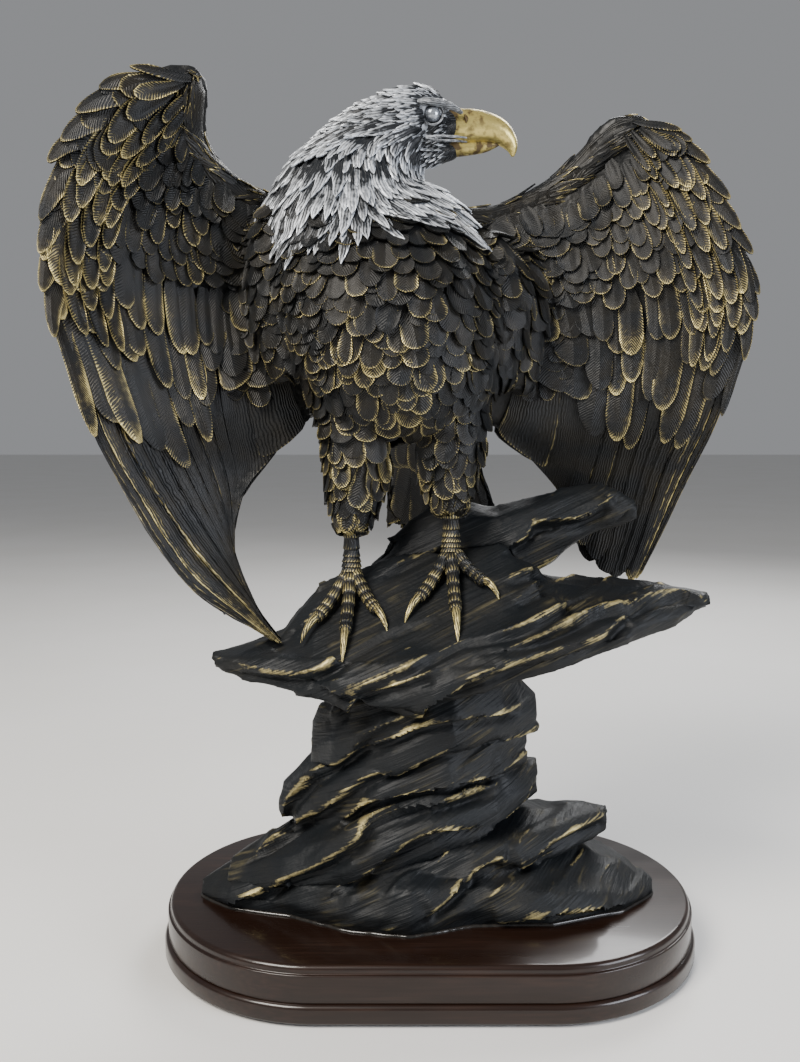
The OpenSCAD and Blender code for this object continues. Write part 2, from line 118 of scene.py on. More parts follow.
class EAGLE_PG_finish(PropertyGroup):
    """Colours of the finishes."""

    patina: colour_setting("Patina", "#101214", "Dark bronze patina in open areas")
    patina_brown: colour_setting("Brown patina", "#201C14", "Warmer patina where the dark coat is thin")
    gilt: colour_setting("Rubbed gold", "#C1B27A", "Gold rubbed over raised edges")
    silver_dark: colour_setting("Silver shadow", "#14171B", "Dark wash between the hackles")
    silver: colour_setting("Silver", "#D2D7DE", "Silver rubbed over the hackles")
    rock_dark: colour_setting("Rock patina", "#131619", "Dark patina of the rock")
    rock_gilt: colour_setting("Rock gold", "#AFA274", "Pale gold rubbed over the strata's edges")
    beak_gold: colour_setting("Beak gold", "#C8B76E", "Pale gold of the beak")
    beak_wash: colour_setting("Beak wash", "#4A3B20", "Brown wash in the beak's pits")
    lacquer: colour_setting("Lacquer", "#1A0F0A", "Espresso stain under the lacquer")
    lacquer_grain: colour_setting("Lacquer grain", "#2B1C15", "Lighter streaks of the stain")
    rubber: colour_setting("Rubber", "#1B1B1C", "Rubber of the foot pads")
    steel: colour_setting("Steel", "#A3A6AA", "Zinc-plated steel of the fixings")
    brass: colour_setting("Brass", "#B08D45", "Brass of the threaded inserts")


class EAGLE_PG_stage(PropertyGroup):
    """Camera, floor and lights."""

    lens: FloatProperty(name="Lens", description="Focal length in mm on a 36 mm sensor", default=33.9, min=10)
    camera_place: FloatVectorProperty(
        name="Camera", description="Place of the camera", size=3, subtype="XYZ",
        default=(-0.012, -0.397, 0.211),
    )
    camera_fall: FloatProperty(
        name="Fall", description="Angle of the camera below level", default=math.radians(6), subtype="ANGLE"
    )
    floor_size: FloatProperty(name="Floor", description="Side of the floor", default=14.0, unit="LENGTH")
    key: FloatProperty(name="Key light", description="Power of the main light in watts", default=20.0, min=0)
    fill: FloatProperty(name="Fill light", description="Power of the side light in watts", default=9.0, min=0)
    back: FloatProperty(name="Back light", description="Power of the rear light in watts", default=9.0, min=0)


# ---------- Shop tools ----------


def settings(group):
    """The scene's property group of that name."""
    return getattr(bpy.context.scene, "eagle_" + group)


def pick(obj):
    """Makes obj the only selected object."""
    if bpy.context.mode != "OBJECT":
        bpy.ops.object.mode_set(mode="OBJECT")
    bpy.ops.object.select_all(action="DESELECT")
    obj.select_set(True)
    bpy.context.view_layer.objects.active = obj
    return obj


def newest(name):
    """The object just added, under its own name."""
    obj = bpy.context.active_object
    obj.name = name
    obj.data.name = name
    return obj


def points(obj):
    """A mesh's vertices in millimetres."""
    co = np.empty(len(obj.data.vertices) * 3)
    obj.data.vertices.foreach_get("co", co)
    return co.reshape(-1, 3) / MM


def set_points(obj, millimetres):
    """Moves a mesh's vertices to places in millimetres."""
    obj.data.vertices.foreach_set("co", (np.asarray(millimetres, float) * MM).ravel())
    obj.data.update()


def normals(obj):
    """A mesh's vertex normals."""
    values = np.empty(len(obj.data.vertices) * 3)
    obj.data.vertex_normals.foreach_get("vector", values)
    return values.reshape(-1, 3)


def mark(obj, values):
    """Writes the trace attribute: mm across and along the feather, and the share of rubbed metal."""
    attributes = obj.data.attributes
    attribute = attributes.get("trace") or attributes.new("trace", "FLOAT_VECTOR", "POINT")
    attribute.data.foreach_set("vector", np.asarray(values, float).ravel())


def mark_rim(obj, values):
    """Writes the rim attribute: 1 on a feather's outline, falling to 0 at its middle."""
    attribute = obj.data.attributes.get("rim") or obj.data.attributes.new("rim", "FLOAT", "POINT")
    attribute.data.foreach_set("value", np.asarray(values, float))


def cad_copy_of(name, sources, voxel, smoothing, inward=0.0):
    """A welded, evenly meshed and smoothed copy of some CAD nodes, drawn in by some millimetres."""
    copies = []
    for source in sources:
        copy = bpy.data.objects.new(name, source.data.copy())
        bpy.context.scene.collection.objects.link(copy)
        copy.data.materials.clear()
        copies.append(copy)
    obj = joined(name, copies)
    weld(obj, 0.01)
    apply_modifier(obj, "REMESH", mode="VOXEL", voxel_size=voxel * MM)
    apply_modifier(obj, "SMOOTH", factor=0.5, iterations=smoothing)
    if inward:
        set_points(obj, points(obj) - normals(obj) * inward)
    mark(obj, np.zeros((len(obj.data.vertices), 3)))
    return obj


def cad_copy(node, name, voxel, smoothing=6, inward=0.0):
    """A welded, evenly meshed and smoothed copy of one CAD node, drawn in by some millimetres."""
    return cad_copy_of(name, [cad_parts[node]], voxel, smoothing, inward)


def apply_modifier(obj, kind, **options):
    """Adds one modifier and applies it."""
    pick(obj)
    modifier = obj.modifiers.new(kind.title(), kind)
    for key, value in options.items():
        setattr(modifier, key, value)
    bpy.ops.object.modifier_apply(modifier=modifier.name)


def edit(obj, *steps):
    """Runs edit-mode operators on the whole mesh: each step is (operator, options)."""
    pick(obj)
    bpy.ops.object.mode_set(mode="EDIT")
    for operator, options in steps:
        bpy.ops.mesh.select_all(action="SELECT")
        operator(**options)
    bpy.ops.object.mode_set(mode="OBJECT")


def weld(obj, distance=0.02):
    """Merges doubles and turns all faces outwards."""
    edit(
        obj,
        (bpy.ops.mesh.remove_doubles, {"threshold": distance * MM}),
        (bpy.ops.mesh.normals_make_consistent, {"inside": False}),
    )


def joined(name, parts):
    """Joins parts into one object."""
    pick(parts[0])
    for part in parts:
        part.select_set(True)
    bpy.ops.object.join()
    return newest(name)


def smooth_shade(obj, degrees=50):
    """Shades smooth, and sharp past an angle."""
    pick(obj)
    bpy.ops.object.shade_smooth_by_angle(angle=math.radians(degrees))


def tree_of(*objects):
    """Search tree over the faces of some objects, in millimetres."""
    verts, faces = [], []
    for obj in objects:
        start = len(verts)
        verts += [tuple(p) for p in points(obj)]
        faces += [[start + i for i in f.vertices] for f in obj.data.polygons]
    return BVHTree.FromPolygons(verts, faces)


def between(a, b, c, d, f):
    """The smooth curve from b to c at a share f, with a before them and d after."""
    return 0.5 * (2 * b + (c - a) * f + (2 * a - 5 * b + 4 * c - d) * f**2 + (3 * b - a - 3 * c + d) * f**3)


def spline(rows, u):
    """Smooth curve through rows of numbers, at places u counted in rows."""
    rows, u = np.asarray(rows, float), np.atleast_1d(np.asarray(u, float))
    last = len(rows) - 1
    i = np.clip(np.floor(u).astype(int), 0, last - 1)
    near = rows[np.maximum(i - 1, 0)], rows[i], rows[i + 1], rows[np.minimum(i + 2, last)]
    return between(*near, (u - i)[:, None])


def ramp(x, low, high):
    """Rises smoothly from 0 at low to 1 at high."""
    t = np.clip((x - low) / (high - low), 0, 1)
    return t * t * (3 - 2 * t)


def bent_grid(name, rings):
    """A grid primitive bent round rings of points, with the row and column of each vertex."""
    rings = np.asarray(rings, float)
    rings = np.concatenate([rings, rings[:, :1]], axis=1)
    rows, columns = rings.shape[:2]
    bpy.ops.object.select_all(action="DESELECT")
    bpy.ops.mesh.primitive_grid_add(x_subdivisions=columns - 1, y_subdivisions=rows - 1, size=2)
    obj = newest(name)
    co = points(obj) * MM
    column = np.rint((co[:, 0] + 1) / 2 * (columns - 1)).astype(int)
    row = np.rint((co[:, 1] + 1) / 2 * (rows - 1)).astype(int)
    set_points(obj, rings[row, column])
    return obj, row, column


def tube(name, path, sides=14, rows=24, gild=0.4, ripple=None, flat=1.0):
    """A round rod along a path of [x, y, z, radius], in millimetres, closed at both ends."""
    line = spline(path, np.linspace(0, len(path) - 1, rows))
    centre, radius = line[:, :3], np.maximum(line[:, 3], 0.05)
    along = np.gradient(centre, axis=0)
    along /= np.linalg.norm(along, axis=1)[:, None]
    side = np.cross(along, [0.0, 0.15, 1.0])
    side /= np.linalg.norm(side, axis=1)[:, None]
    up = np.cross(side, along)
    turn = np.linspace(0, 2 * math.pi, sides, endpoint=False)
    rings = []
    for i in range(rows):
        r = np.full(sides, radius[i])
        if ripple:
            r = r * (1 + 0.16 * (ripple(i / (rows - 1)) - 0.4))
        rings.append(
            centre[i] + np.outer(np.cos(turn) * r, side[i]) + np.outer(np.sin(turn) * r * flat, up[i])
        )
    obj, row, column = bent_grid(name, rings)
    shine = np.full(len(row), float(gild))
    if ripple:
        shine = gild * (0.3 + 0.9 * np.array([ripple(i / (rows - 1)) for i in range(rows)])[row])
    mark(obj, np.stack([np.zeros(len(row)), column / sides * 2 * math.pi * radius[row], shine], 1))
    edit(
        obj,
        (bpy.ops.mesh.remove_doubles, {"threshold": 0.005 * MM}),
        (bpy.ops.mesh.fill_holes, {"sides": 0}),
        (bpy.ops.mesh.normals_make_consistent, {"inside": False}),
    )
    return obj


# ---------- Feathers ----------


# Offset in millimetres that keeps the trace of lengthwise lines above zero
TRACE_START = 40


def feather_blank(name, across, along):
    """A closed flat blade to copy. across and along give the places of its rows from -1 to 1 and 0 to 1."""
    bpy.ops.object.select_all(action="DESELECT")
    bpy.ops.mesh.primitive_grid_add(x_subdivisions=len(across) - 1, y_subdivisions=len(along) - 1, size=2)
    obj = newest(name)
    pick(obj)
    bpy.ops.object.mode_set(mode="EDIT")
    bpy.ops.mesh.select_all(action="SELECT")
    bpy.ops.mesh.extrude_region_move(TRANSFORM_OT_translate={"value": (0, 0, 1)})
    bpy.ops.object.mode_set(mode="OBJECT")
    co = points(obj) * MM
    column = np.rint((co[:, 0] + 1) / 2 * (len(across) - 1)).astype(int)
    row = np.rint((co[:, 1] + 1) / 2 * (len(along) - 1)).astype(int)
    u, v = np.array(across)[column], np.array(along)[row]
    mark(obj, np.zeros((len(co), 3)))
    mark_rim(obj, np.maximum(np.abs(u) * ramp(v, 0.1, 0.4), np.clip((v - 0.8) / 0.2, 0, 1)))
    return {"object": obj, "u": u, "v": v, "top": (co[:, 2] > 0.5).astype(float)}


def blade(blank, round_tip, waist, lift, belly, quill, rim, thickness):
    """Plan and height of a feather: shares of half width and length, and millimetres of height."""
    u, v, top = blank["u"], blank["v"], blank["top"]
    if round_tip >= 0:
        reach = v * (1 - round_tip * (1 - np.sqrt(1 - 0.97 * u * u)))
    else:
        reach = v * (1 + round_tip * np.abs(u) ** 1.25)
    wide = u * (waist + (1 - waist) * np.minimum(1, v * 2.4))
    if round_tip < 0:
        wide = wide * (1 - 0.55 * ramp(v, 0.35, 1.0))
    edge = np.maximum(np.abs(u) ** 5, ramp(v, 0.8, 1.0))
    height = lift * v**1.2 + belly * (1 - u * u) * (0.35 + 0.65 * v) + rim * edge
    height = height + quill * (np.abs(u) < 0.05) * (1 - 0.7 * v)
    height = height - (1 - top) * thickness * (1 + 1.4 * (1 - v))
    return wide, reach, height


def shine_of(blank, gild):
    """Share of rubbed metal over a feather: none at its root and under it."""
    return np.clip(gild * (0.45 + 0.55 * blank["v"]), 0, 1) * ramp(blank["v"], 0.05, 0.45) * blank["top"]


def copy_feather(blank, places, trace):
    """One feather with its own mesh, its vertices laid at places in millimetres."""
    obj = blank["object"].copy()
    obj.data = blank["object"].data.copy()
    bpy.context.scene.collection.objects.link(obj)
    set_points(obj, places)
    mark(obj, trace)
    return obj


def lay_feather(blank, tree, root, heading, length, width, form, gild, lengthwise=False, base=0.0):
    """A feather laid on a body from root, its spine following heading over the surface.

    A lengthwise one has its fine lines along it in place of slanted barbs.
    """
    steps = 7
    place, normal = tree.find_nearest(Vector(root))[:2]
    run = None
    spine, sides = [], []
    for _ in range(steps + 1):
        flow = Vector(heading(place))
        flow = (flow - normal * flow.dot(normal)).normalized()
        run = flow if run is None else (run * 0.6 + flow * 0.4)
        run = (run - normal * run.dot(normal)).normalized()
        spine.append(tuple(place))
        sides.append(tuple(run.cross(normal)))
        place, normal = tree.find_nearest(place + run * (length / steps))[:2]
    wide, reach, height = form
    middle = spline(spine, reach * steps)
    out = middle + spline(sides, reach * steps) * (wide * width / 2)[:, None]
    laid = []
    for point, up in zip(out, height):
        hit, n = tree.find_nearest(Vector(point))[:2]
        laid.append(tuple(hit + n * (up + base)))
    across, along = wide * width / 2, reach * length
    if lengthwise:
        across, along = np.zeros(len(across)), across + TRACE_START
    return copy_feather(blank, laid, np.stack([across, along, shine_of(blank, gild)], 1))


def rooted_rows(tree, axis, levels, spacing, rng):
    """Roots in staggered level rows round a body whose middle line is axis, a list of (z, x, y)."""
    axis = np.array(axis, float)
    roots = []
    for number, z in enumerate(levels):
        x, y = np.interp(z, axis[:, 0], axis[:, 1]), np.interp(z, axis[:, 0], axis[:, 2])
        ring = []
        for k in range(72):
            way = Vector((math.cos(k * math.pi / 36), math.sin(k * math.pi / 36), 0))
            hit = tree.ray_cast(Vector((x, y, z)) + way * 120, -way)[0]
            if hit:
                ring.append(hit)
        if len(ring) < 8:
            continue
        girth = sum((a - b).length for a, b in zip(ring, ring[1:] + ring[:1]))
        count = max(6, round(girth / spacing))
        for k in range(count):
            turn = (k + 0.5 * (number % 2) + rng.uniform(-0.25, 0.25)) / count * 2 * math.pi
            way = Vector((math.cos(turn), math.sin(turn), 0))
            lower = Vector((x, y, z + rng.uniform(-1.2, 1.2)))
            hit = tree.ray_cast(lower + way * 120, -way)[0]
            if hit:
                roots.append(hit)
    return roots


# ---------- Wings ----------

# Lines from the arm to the trailing edge, from the leading edge inwards, as (x, z) in millimetres
WING_LINES = {
    "right_wing": [
        [(-88, 338), (-112, 331), (-130, 305), (-136, 266), (-129, 234), (-117, 197), (-92, 152), (-58, 127)],
        [(-88, 333), (-104, 318), (-118, 290), (-122, 258), (-115, 226), (-104, 191), (-84, 157), (-57, 128)],
        [(-89, 325), (-97, 306), (-106, 282), (-108, 252), (-102, 222), (-93, 192), (-80, 164), (-67, 140)],
        [(-88, 314), (-91, 298), (-94, 275), (-94, 250), (-91, 225), (-86, 202), (-81, 182), (-77, 161)],
        [(-78, 304), (-79, 290), (-80, 270), (-80, 250), (-79, 232), (-77, 215), (-75, 202), (-73, 187)],
        [(-60, 296), (-60, 284), (-60, 268), (-59, 252), (-58, 238), (-56, 226), (-53, 217), (-50, 210)],
    ],
    "left_wing": [
        [(79, 327), (95, 318), (110, 292), (121, 259), (116, 229), (110, 200), (101, 170), (91, 146)],
        [(75, 325), (87, 308), (99, 281), (107, 253), (104, 225), (99, 198), (93, 170), (86, 146)],
        [(70, 320), (78, 300), (87, 275), (92, 250), (91, 224), (88, 198), (84, 173), (78, 149)],
        [(60, 311), (66, 292), (72, 270), (76, 248), (77, 225), (75, 200), (71, 178), (66, 158)],
        [(45, 300), (49, 285), (54, 266), (58, 247), (59, 230), (58, 212), (56, 198), (53, 187)],
        [(22, 292), (26, 280), (31, 264), (34, 250), (35, 237), (34, 226), (31, 216), (27, 208)],
    ],
}
# Middle line and radius of each arm, as (x, z, radius)
ARMS = {
    "right_wing": [
        (-44, 290, 6), (-58, 294.5, 6), (-70, 297, 6), (-80, 303, 6.2), (-88, 311, 6.2), (-92, 320, 6),
        (-91, 328, 6), (-89, 335, 5.6), (-87, 338.5, 3),
    ],
    "left_wing": [
        (-2, 288, 5.5), (10, 291, 6), (25, 292, 6), (37, 296, 6), (50, 303, 6.2), (60, 311, 6.2),
        (67, 318, 6), (74, 323, 6), (80, 324, 5), (83, 323, 2.5),
    ],
}


class WingFace:
    """One face of a wing as a map: share across and share along to a place and an outward normal."""

    def __init__(self, node, tree, side):
        self.lines = np.array(WING_LINES[node], float)
        self.side = side
        low, high = self.lines.min((0, 1)) - 16, self.lines.max((0, 1)) + 16
        self.low, self.step = low, 2.0
        count = np.ceil((high - low) / self.step).astype(int) + 1
        field = np.full(count, np.nan)
        for i in range(count[0]):
            for j in range(count[1]):
                start = Vector((low[0] + i * self.step, 300.0 * side, low[1] + j * self.step))
                hit = tree.ray_cast(start, Vector((0, -side, 0)))[0]
                if hit:
                    field[i, j] = hit.y
        self.field = self.spread(field)

    @staticmethod
    def spread(field):
        """Fills the places beside the wing from their neighbours, then evens the whole."""
        while np.isnan(field).any():
            padded = np.pad(field, 1, constant_values=np.nan)
            near = np.stack([padded[:-2, 1:-1], padded[2:, 1:-1], padded[1:-1, :-2], padded[1:-1, 2:]])
            known = ~np.isnan(near)
            total = np.where(known, near, 0).sum(0)
            empty = np.isnan(field) & known.any(0)
            field = np.where(empty, total / np.maximum(known.sum(0), 1), field)
        for _ in range(5):
            padded = np.pad(field, 1, mode="edge")
            sides = padded[:-2, 1:-1] + padded[2:, 1:-1] + padded[1:-1, :-2] + padded[1:-1, 2:]
            field = (sides + 2 * field) / 6
        return field

    def depth(self, x, z):
        """The face's y at places x and z."""
        limit = np.array(self.field.shape) - 1.001
        i = np.clip((x - self.low[0]) / self.step, 0, limit[0])
        j = np.clip((z - self.low[1]) / self.step, 0, limit[1])
        a, b = i.astype(int), j.astype(int)
        f, g = i - a, j - b
        near = self.field[a, b] * (1 - f) + self.field[a + 1, b] * f
        far = self.field[a, b + 1] * (1 - f) + self.field[a + 1, b + 1] * f
        return near * (1 - g) + far * g

    def flat(self, across, along):
        """Place (x, z) at a share across the lines and a share along them."""
        line = np.asarray(across) * (len(self.lines) - 1)
        rows = spline(self.lines.reshape(len(self.lines), -1), np.maximum(line, 0))
        rows = rows.reshape(len(rows), self.lines.shape[1], 2)
        # A little way straight on past the leading edge
        rows = rows + 0.4 * np.minimum(line, 0)[:, None, None] * (self.lines[1] - self.lines[0])
        t = np.asarray(along) * (self.lines.shape[1] - 1)
        i = np.clip(np.floor(t).astype(int), 0, self.lines.shape[1] - 2)
        n, last = np.arange(len(rows)), self.lines.shape[1] - 1
        near = rows[n, np.maximum(i - 1, 0)], rows[n, i], rows[n, i + 1], rows[n, np.minimum(i + 2, last)]
        return between(*near, (t - i)[:, None])

    def place(self, across, along, height):
        """Places in space at some millimetres above the face."""
        flat = self.flat(across, along)
        x, z = flat[:, 0], flat[:, 1]
        y = self.depth(x, z)
        slope_x = (self.depth(x + 2, z) - self.depth(x - 2, z)) / 4
        slope_z = (self.depth(x, z + 2) - self.depth(x, z - 2)) / 4
        normal = np.stack([-slope_x, np.ones(len(x)), -slope_z], 1) * self.side
        normal /= np.linalg.norm(normal, axis=1)[:, None]
        return np.stack([x, y, z], 1) + normal * height[:, None]


def wing_feather(face, blank, across, half, start, end, form, gild, shingle, base, drift, brushed=False):
    """A feather on a wing's face, centred on a share across and running from start to end along.

    A brushed one has its fine lines along it in place of slanted barbs.
    """
    wide, reach, height = form
    k = across + wide * half + drift * reach
    t = start + (end - start) * reach
    height = height + base + shingle * (0.5 - 0.5 * blank["u"])
    places = face.place(k, t, height)
    ends = face.flat([across - half, across + half], [(start + end) / 2] * 2)
    run = face.flat([across, across], [start, end])
    width = np.linalg.norm(ends[1] - ends[0]) / 2
    length = np.linalg.norm(run[1] - run[0])
    across, along = wide * width, reach * length
    if brushed:
        across, along = np.zeros(len(across)), across + TRACE_START
    return copy_feather(blank, places, np.stack([across, along, shine_of(blank, gild)], 1))


def wing_plumage(node, side, blanks, rng):
    """All the feathers on one face of a wing."""
    plumage = settings("plumage")
    thick = plumage.feather_thickness / MM
    face = WingFace(node, tree_of(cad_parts[node]), side)
    small, long_blank = blanks["scale"], blanks["flight"]
    feathers = []
    flights = plumage.flight_count
    for i in range(flights):
        # Narrow blades towards the leading edge, broad ones towards the body
        k = ((i + 0.4) / flights) ** 1.25
        half = 0.66 * (((i + 1) / flights) ** 1.25 - (i / flights) ** 1.25) + 0.014
        end = 1.0 + rng.uniform(-0.02, 0.025)
        form = blade(long_blank, 0.08 + 0.05 * k, 0.8, 0.5, 0.9, 0.4, 0.3, thick)
        gild = (1.0 if i < 4 else 0.42) * rng.uniform(0.6, 1.0)
        feathers.append(
            wing_feather(
                face, long_blank, k, half, 0.44, end, form, gild, rng.uniform(0.7, 1.6), 0.3,
                rng.uniform(-0.02, 0.02), True,
            )
        )
    # Rows of coverts from the lowest up, as (start, length, number across, gold, roundness)
    rows = [(0.43, 0.21, 10, 0.9, 0.24), (0.36, 0.18, 12, 0.95, 0.28), (0.30, 0.15, 13, 1.0, 0.3)]
    rows += [(0.262 - 0.034 * j, 0.083, 14 - j // 3, 0.7, 0.36) for j in range(7)]
    for number, (start, span, count, gold, roundness) in enumerate(rows):
        loose = 0.3 if number < 3 else 0.16
        for i in range(count + 1):
            k = (i + 0.5 * (number % 2) + rng.uniform(-loose, loose)) / count
            # The rows hang lower towards the leading edge and step up at the body
            droop = 0.05 * math.sin(math.pi * min(1.0, max(0.0, 1.15 - k))) - 0.025 if number < 3 else 0.0
            begin = start + droop + rng.uniform(-0.02, 0.02)
            span_here = span * rng.uniform(0.85, 1.25)
            lift = rng.uniform(1.3, 2.6)
            form = blade(small, roundness, 0.55, lift, 1.0, 0.3, 0.3, thick)
            shine = gold * rng.uniform(0.35, 1.0) * (1.0 if k < 0.7 else 0.7)
            feathers.append(
                wing_feather(
                    face, small, k, rng.uniform(0.56, 0.72) / count, begin, begin + span_here, form, shine,
                    rng.uniform(-0.5, 0.9), 0.9, rng.uniform(-0.02, 0.02),
                )
            )
    # Ragged tongues inside the leading edge, rubbed bright
    for j in range(11):
        for k in (0.12, 0.19, 0.26):
            begin = 0.41 - 0.038 * j + rng.uniform(-0.012, 0.012)
            form = blade(small, 0.5, 0.5, rng.uniform(1.8, 3.0), 0.9, 0.4, 0.4, thick)
            feathers.append(
                wing_feather(
                    face, small, k + rng.uniform(-0.015, 0.015), 0.034, begin,
                    begin + rng.uniform(0.08, 0.12), form, rng.uniform(0.7, 1.0), 0.3, 1.5,
                    rng.uniform(-0.03, 0.0),
                )
            )
    # Broad smooth feathers down the leading edge, their tips stepping out past it
    for j in range(9):
        form = blade(small, 0.3, 0.7, rng.uniform(1.6, 2.8), 1.2, 0.0, 0.35, thick * 1.3)
        begin = 0.42 - 0.052 * j
        feathers.append(
            wing_feather(
                face, small, 0.08, 0.055, begin, begin + rng.uniform(0.1, 0.125), form, 0.62, 0.5, 1.6,
                rng.uniform(-0.155, -0.105),
            )
        )
    return face, feathers


# ---------- Finishes ----------

BARB_PITCH = 1.1


def add_node(tree, kind, *inputs, **named):
    """Adds a shader node and returns its first output in use.

    inputs are sockets or values in the node's own order; named holds its settings, and inputs by name.
    """
    node = tree.nodes.new("ShaderNode" + kind)
    pairs = []
    for key, value in named.items():
        if hasattr(node, key):
            setattr(node, key, value)
        else:
            pairs.append((node.inputs[key.replace("_", " ")], value))
    pairs += zip([socket for socket in node.inputs if socket.enabled], inputs)
    for socket, value in pairs:
        if isinstance(value, bpy.types.NodeSocket):
            tree.links.new(value, socket)
        else:
            socket.default_value = value
    return [socket for socket in node.outputs if socket.enabled][0]


def new_material(name, **shader):
    """A material, a way to add its nodes, its Principled shader's inputs and the Object coordinates."""
    material = bpy.data.materials.new(name)
    material.use_nodes = True
    tree = material.node_tree
    surface = tree.nodes["Principled BSDF"].inputs
    for key, value in shader.items():
        surface[key.replace("_", " ")].default_value = value
    add = partial(add_node, tree)
    return material, add, surface, add("TexCoord").node.outputs["Object"]


def finish_with(material, surface, **sockets):
    """Leads the last nodes' outputs to the shader."""
    for key, socket in sockets.items():
        material.node_tree.links.new(socket, surface[key.replace("_", " ")])
    return material


def cast_finish(name, dark, brown, metal, cover, shine, dull, bright):
    """Cold-cast bronze: dark waxed patina, and metal rubbed by hand over the raised edges and barbs.

    The eye sees near-black hollows with a soft sheen, and broken bright lines where a cloth would touch.
    """
    material, add, surface, coordinates = new_material(
        name, IOR=1.5, Specular_IOR_Level=0.3, Coat_Weight=0.08, Coat_Roughness=0.3
    )
    outline = add("Attribute", attribute_name="rim", attribute_type="GEOMETRY").node.outputs["Fac"]
    trace = add("Attribute", attribute_name="trace", attribute_type="GEOMETRY").node.outputs["Vector"]
    across, along, gild = add("SeparateXYZ", trace).node.outputs
    rim = add("MapRange", outline, 0.74, 0.98)
    tip = add("MapRange", outline, 0.1, 0.95)
    # Barbs leave the quill at about 40 degrees, and are drawn coarser than real ones, so that they show
    aside = add("Math", across, operation="ABSOLUTE")
    slant = add("Math", aside, -1.15, along, operation="MULTIPLY_ADD")
    waver = add("TexNoise", coordinates, 190.0, 2.0)
    phase = add("Math", waver, 2.2, slant, operation="MULTIPLY_ADD")
    turns = add("Math", phase, 2 * math.pi / BARB_PITCH, operation="MULTIPLY")
    barbs = add("Math", add("Math", turns, operation="SINE"), 0.5, 0.5, operation="MULTIPLY_ADD")
    # Patches that the cloth missed, about 12 mm and 2 mm across
    patches = add("TexNoise", coordinates, 85.0, 3.0)
    flecks = add("TexNoise", coordinates, 520.0, 4.0)
    reached = add("MapRange", patches, 0.38, 0.62)
    speckle = add("MapRange", flecks, 0.32, 0.68)
    edge = add("Math", rim, add("Math", reached, 0.6, 0.22, operation="MULTIPLY_ADD"), operation="MULTIPLY")
    depth = add("Math", reached, 0.32, 0.06, operation="MULTIPLY_ADD")
    depth = add("Math", tip, 0.5, depth, operation="MULTIPLY_ADD")
    rubbed = add("Math", barbs, depth, edge, operation="MULTIPLY_ADD")
    rubbed = add("Math", speckle, 0.3, rubbed, operation="MULTIPLY_ADD")
    rubbed = add("Math", add("Math", rubbed, cover, operation="ADD"), gild, operation="MULTIPLY")
    mask = add("MapRange", rubbed, 0.4, 1.0)
    warmth = add("Math", gild, 0.7, 0.3, operation="MULTIPLY_ADD")
    warmth = add("Math", reached, warmth, operation="MULTIPLY")
    colour = add("Mix", mask, add("Mix", warmth, dark, brown, data_type="RGBA"), metal, data_type="RGBA")
    gloss = add("MapRange", mask, 0.0, 1.0, dull, bright)
    relief = add("Math", flecks, 1.1, barbs, operation="MULTIPLY_ADD")
    return finish_with(
        material, surface, Base_Color=colour, Metallic=add("MapRange", mask, 0.0, 1.0, 0.15, shine),
        Roughness=add("Math", speckle, 0.1, gloss, operation="MULTIPLY_ADD"),
        Normal=add("Bump", Strength=0.6, Distance=0.00034, Height=relief),
    )


def rock_finish():
    """The same cold cast on the rock: green-black patina, pale gold along the strata's edges.

    The eye sees dull dark slate with hair-fine scratches along the strata, and bright broken edges.
    """
    finish = settings("finish")
    material, add, surface, coordinates = new_material("cold_cast_rock", IOR=1.5, Specular_IOR_Level=0.25)
    trace = add("Attribute", attribute_name="trace", attribute_type="GEOMETRY").node.outputs["Vector"]
    gild = add("SeparateXYZ", trace).node.outputs["Z"]
    # Scratches along the strata, which climb 24 degrees towards +X: 1 mm apart and 30 mm long
    laid = add(
        "Mapping", coordinates, vector_type="TEXTURE", Rotation=(0, -math.radians(24), 0),
        Scale=(0.03, 0.012, 0.001),
    )
    streaks = add("TexNoise", laid, 1.0, 4.0)
    patches = add("TexNoise", coordinates, 55.0, 4.0)
    flecks = add("TexNoise", coordinates, 600.0, 4.0)
    rubbed = add("Math", gild, add("MapRange", flecks, 0.3, 0.7, -0.1, 0.1), operation="ADD")
    rubbed = add("Math", rubbed, add("MapRange", streaks, 0.35, 0.66, -0.28, 0.24), operation="ADD")
    lines = add("MapRange", streaks, 0.54, 0.72)
    lines = add("Math", lines, add("MapRange", patches, 0.5, 0.72), operation="MULTIPLY")
    scratched = add("Math", lines, 0.24, operation="MULTIPLY")
    mask = add("Math", add("MapRange", rubbed, 0.42, 0.86), scratched, operation="MAXIMUM")
    haze = add("Math", add("MapRange", patches, 0.4, 0.7), 0.3, operation="MULTIPLY")
    base = add("Mix", haze, finish.rock_dark, finish.patina_brown, data_type="RGBA")
    relief = add("Math", flecks, 0.4, operation="MULTIPLY")
    relief = add("Math", streaks, 1.4, relief, operation="MULTIPLY_ADD")
    return finish_with(
        material, surface, Base_Color=add("Mix", mask, base, finish.rock_gilt, data_type="RGBA"),
        Metallic=add("MapRange", mask, 0.0, 1.0, 0.12, 0.85),
        Roughness=add("MapRange", patches, 0.3, 0.7, 0.44, 0.62),
        Normal=add("Bump", Strength=0.6, Distance=0.0007, Height=relief),
    )


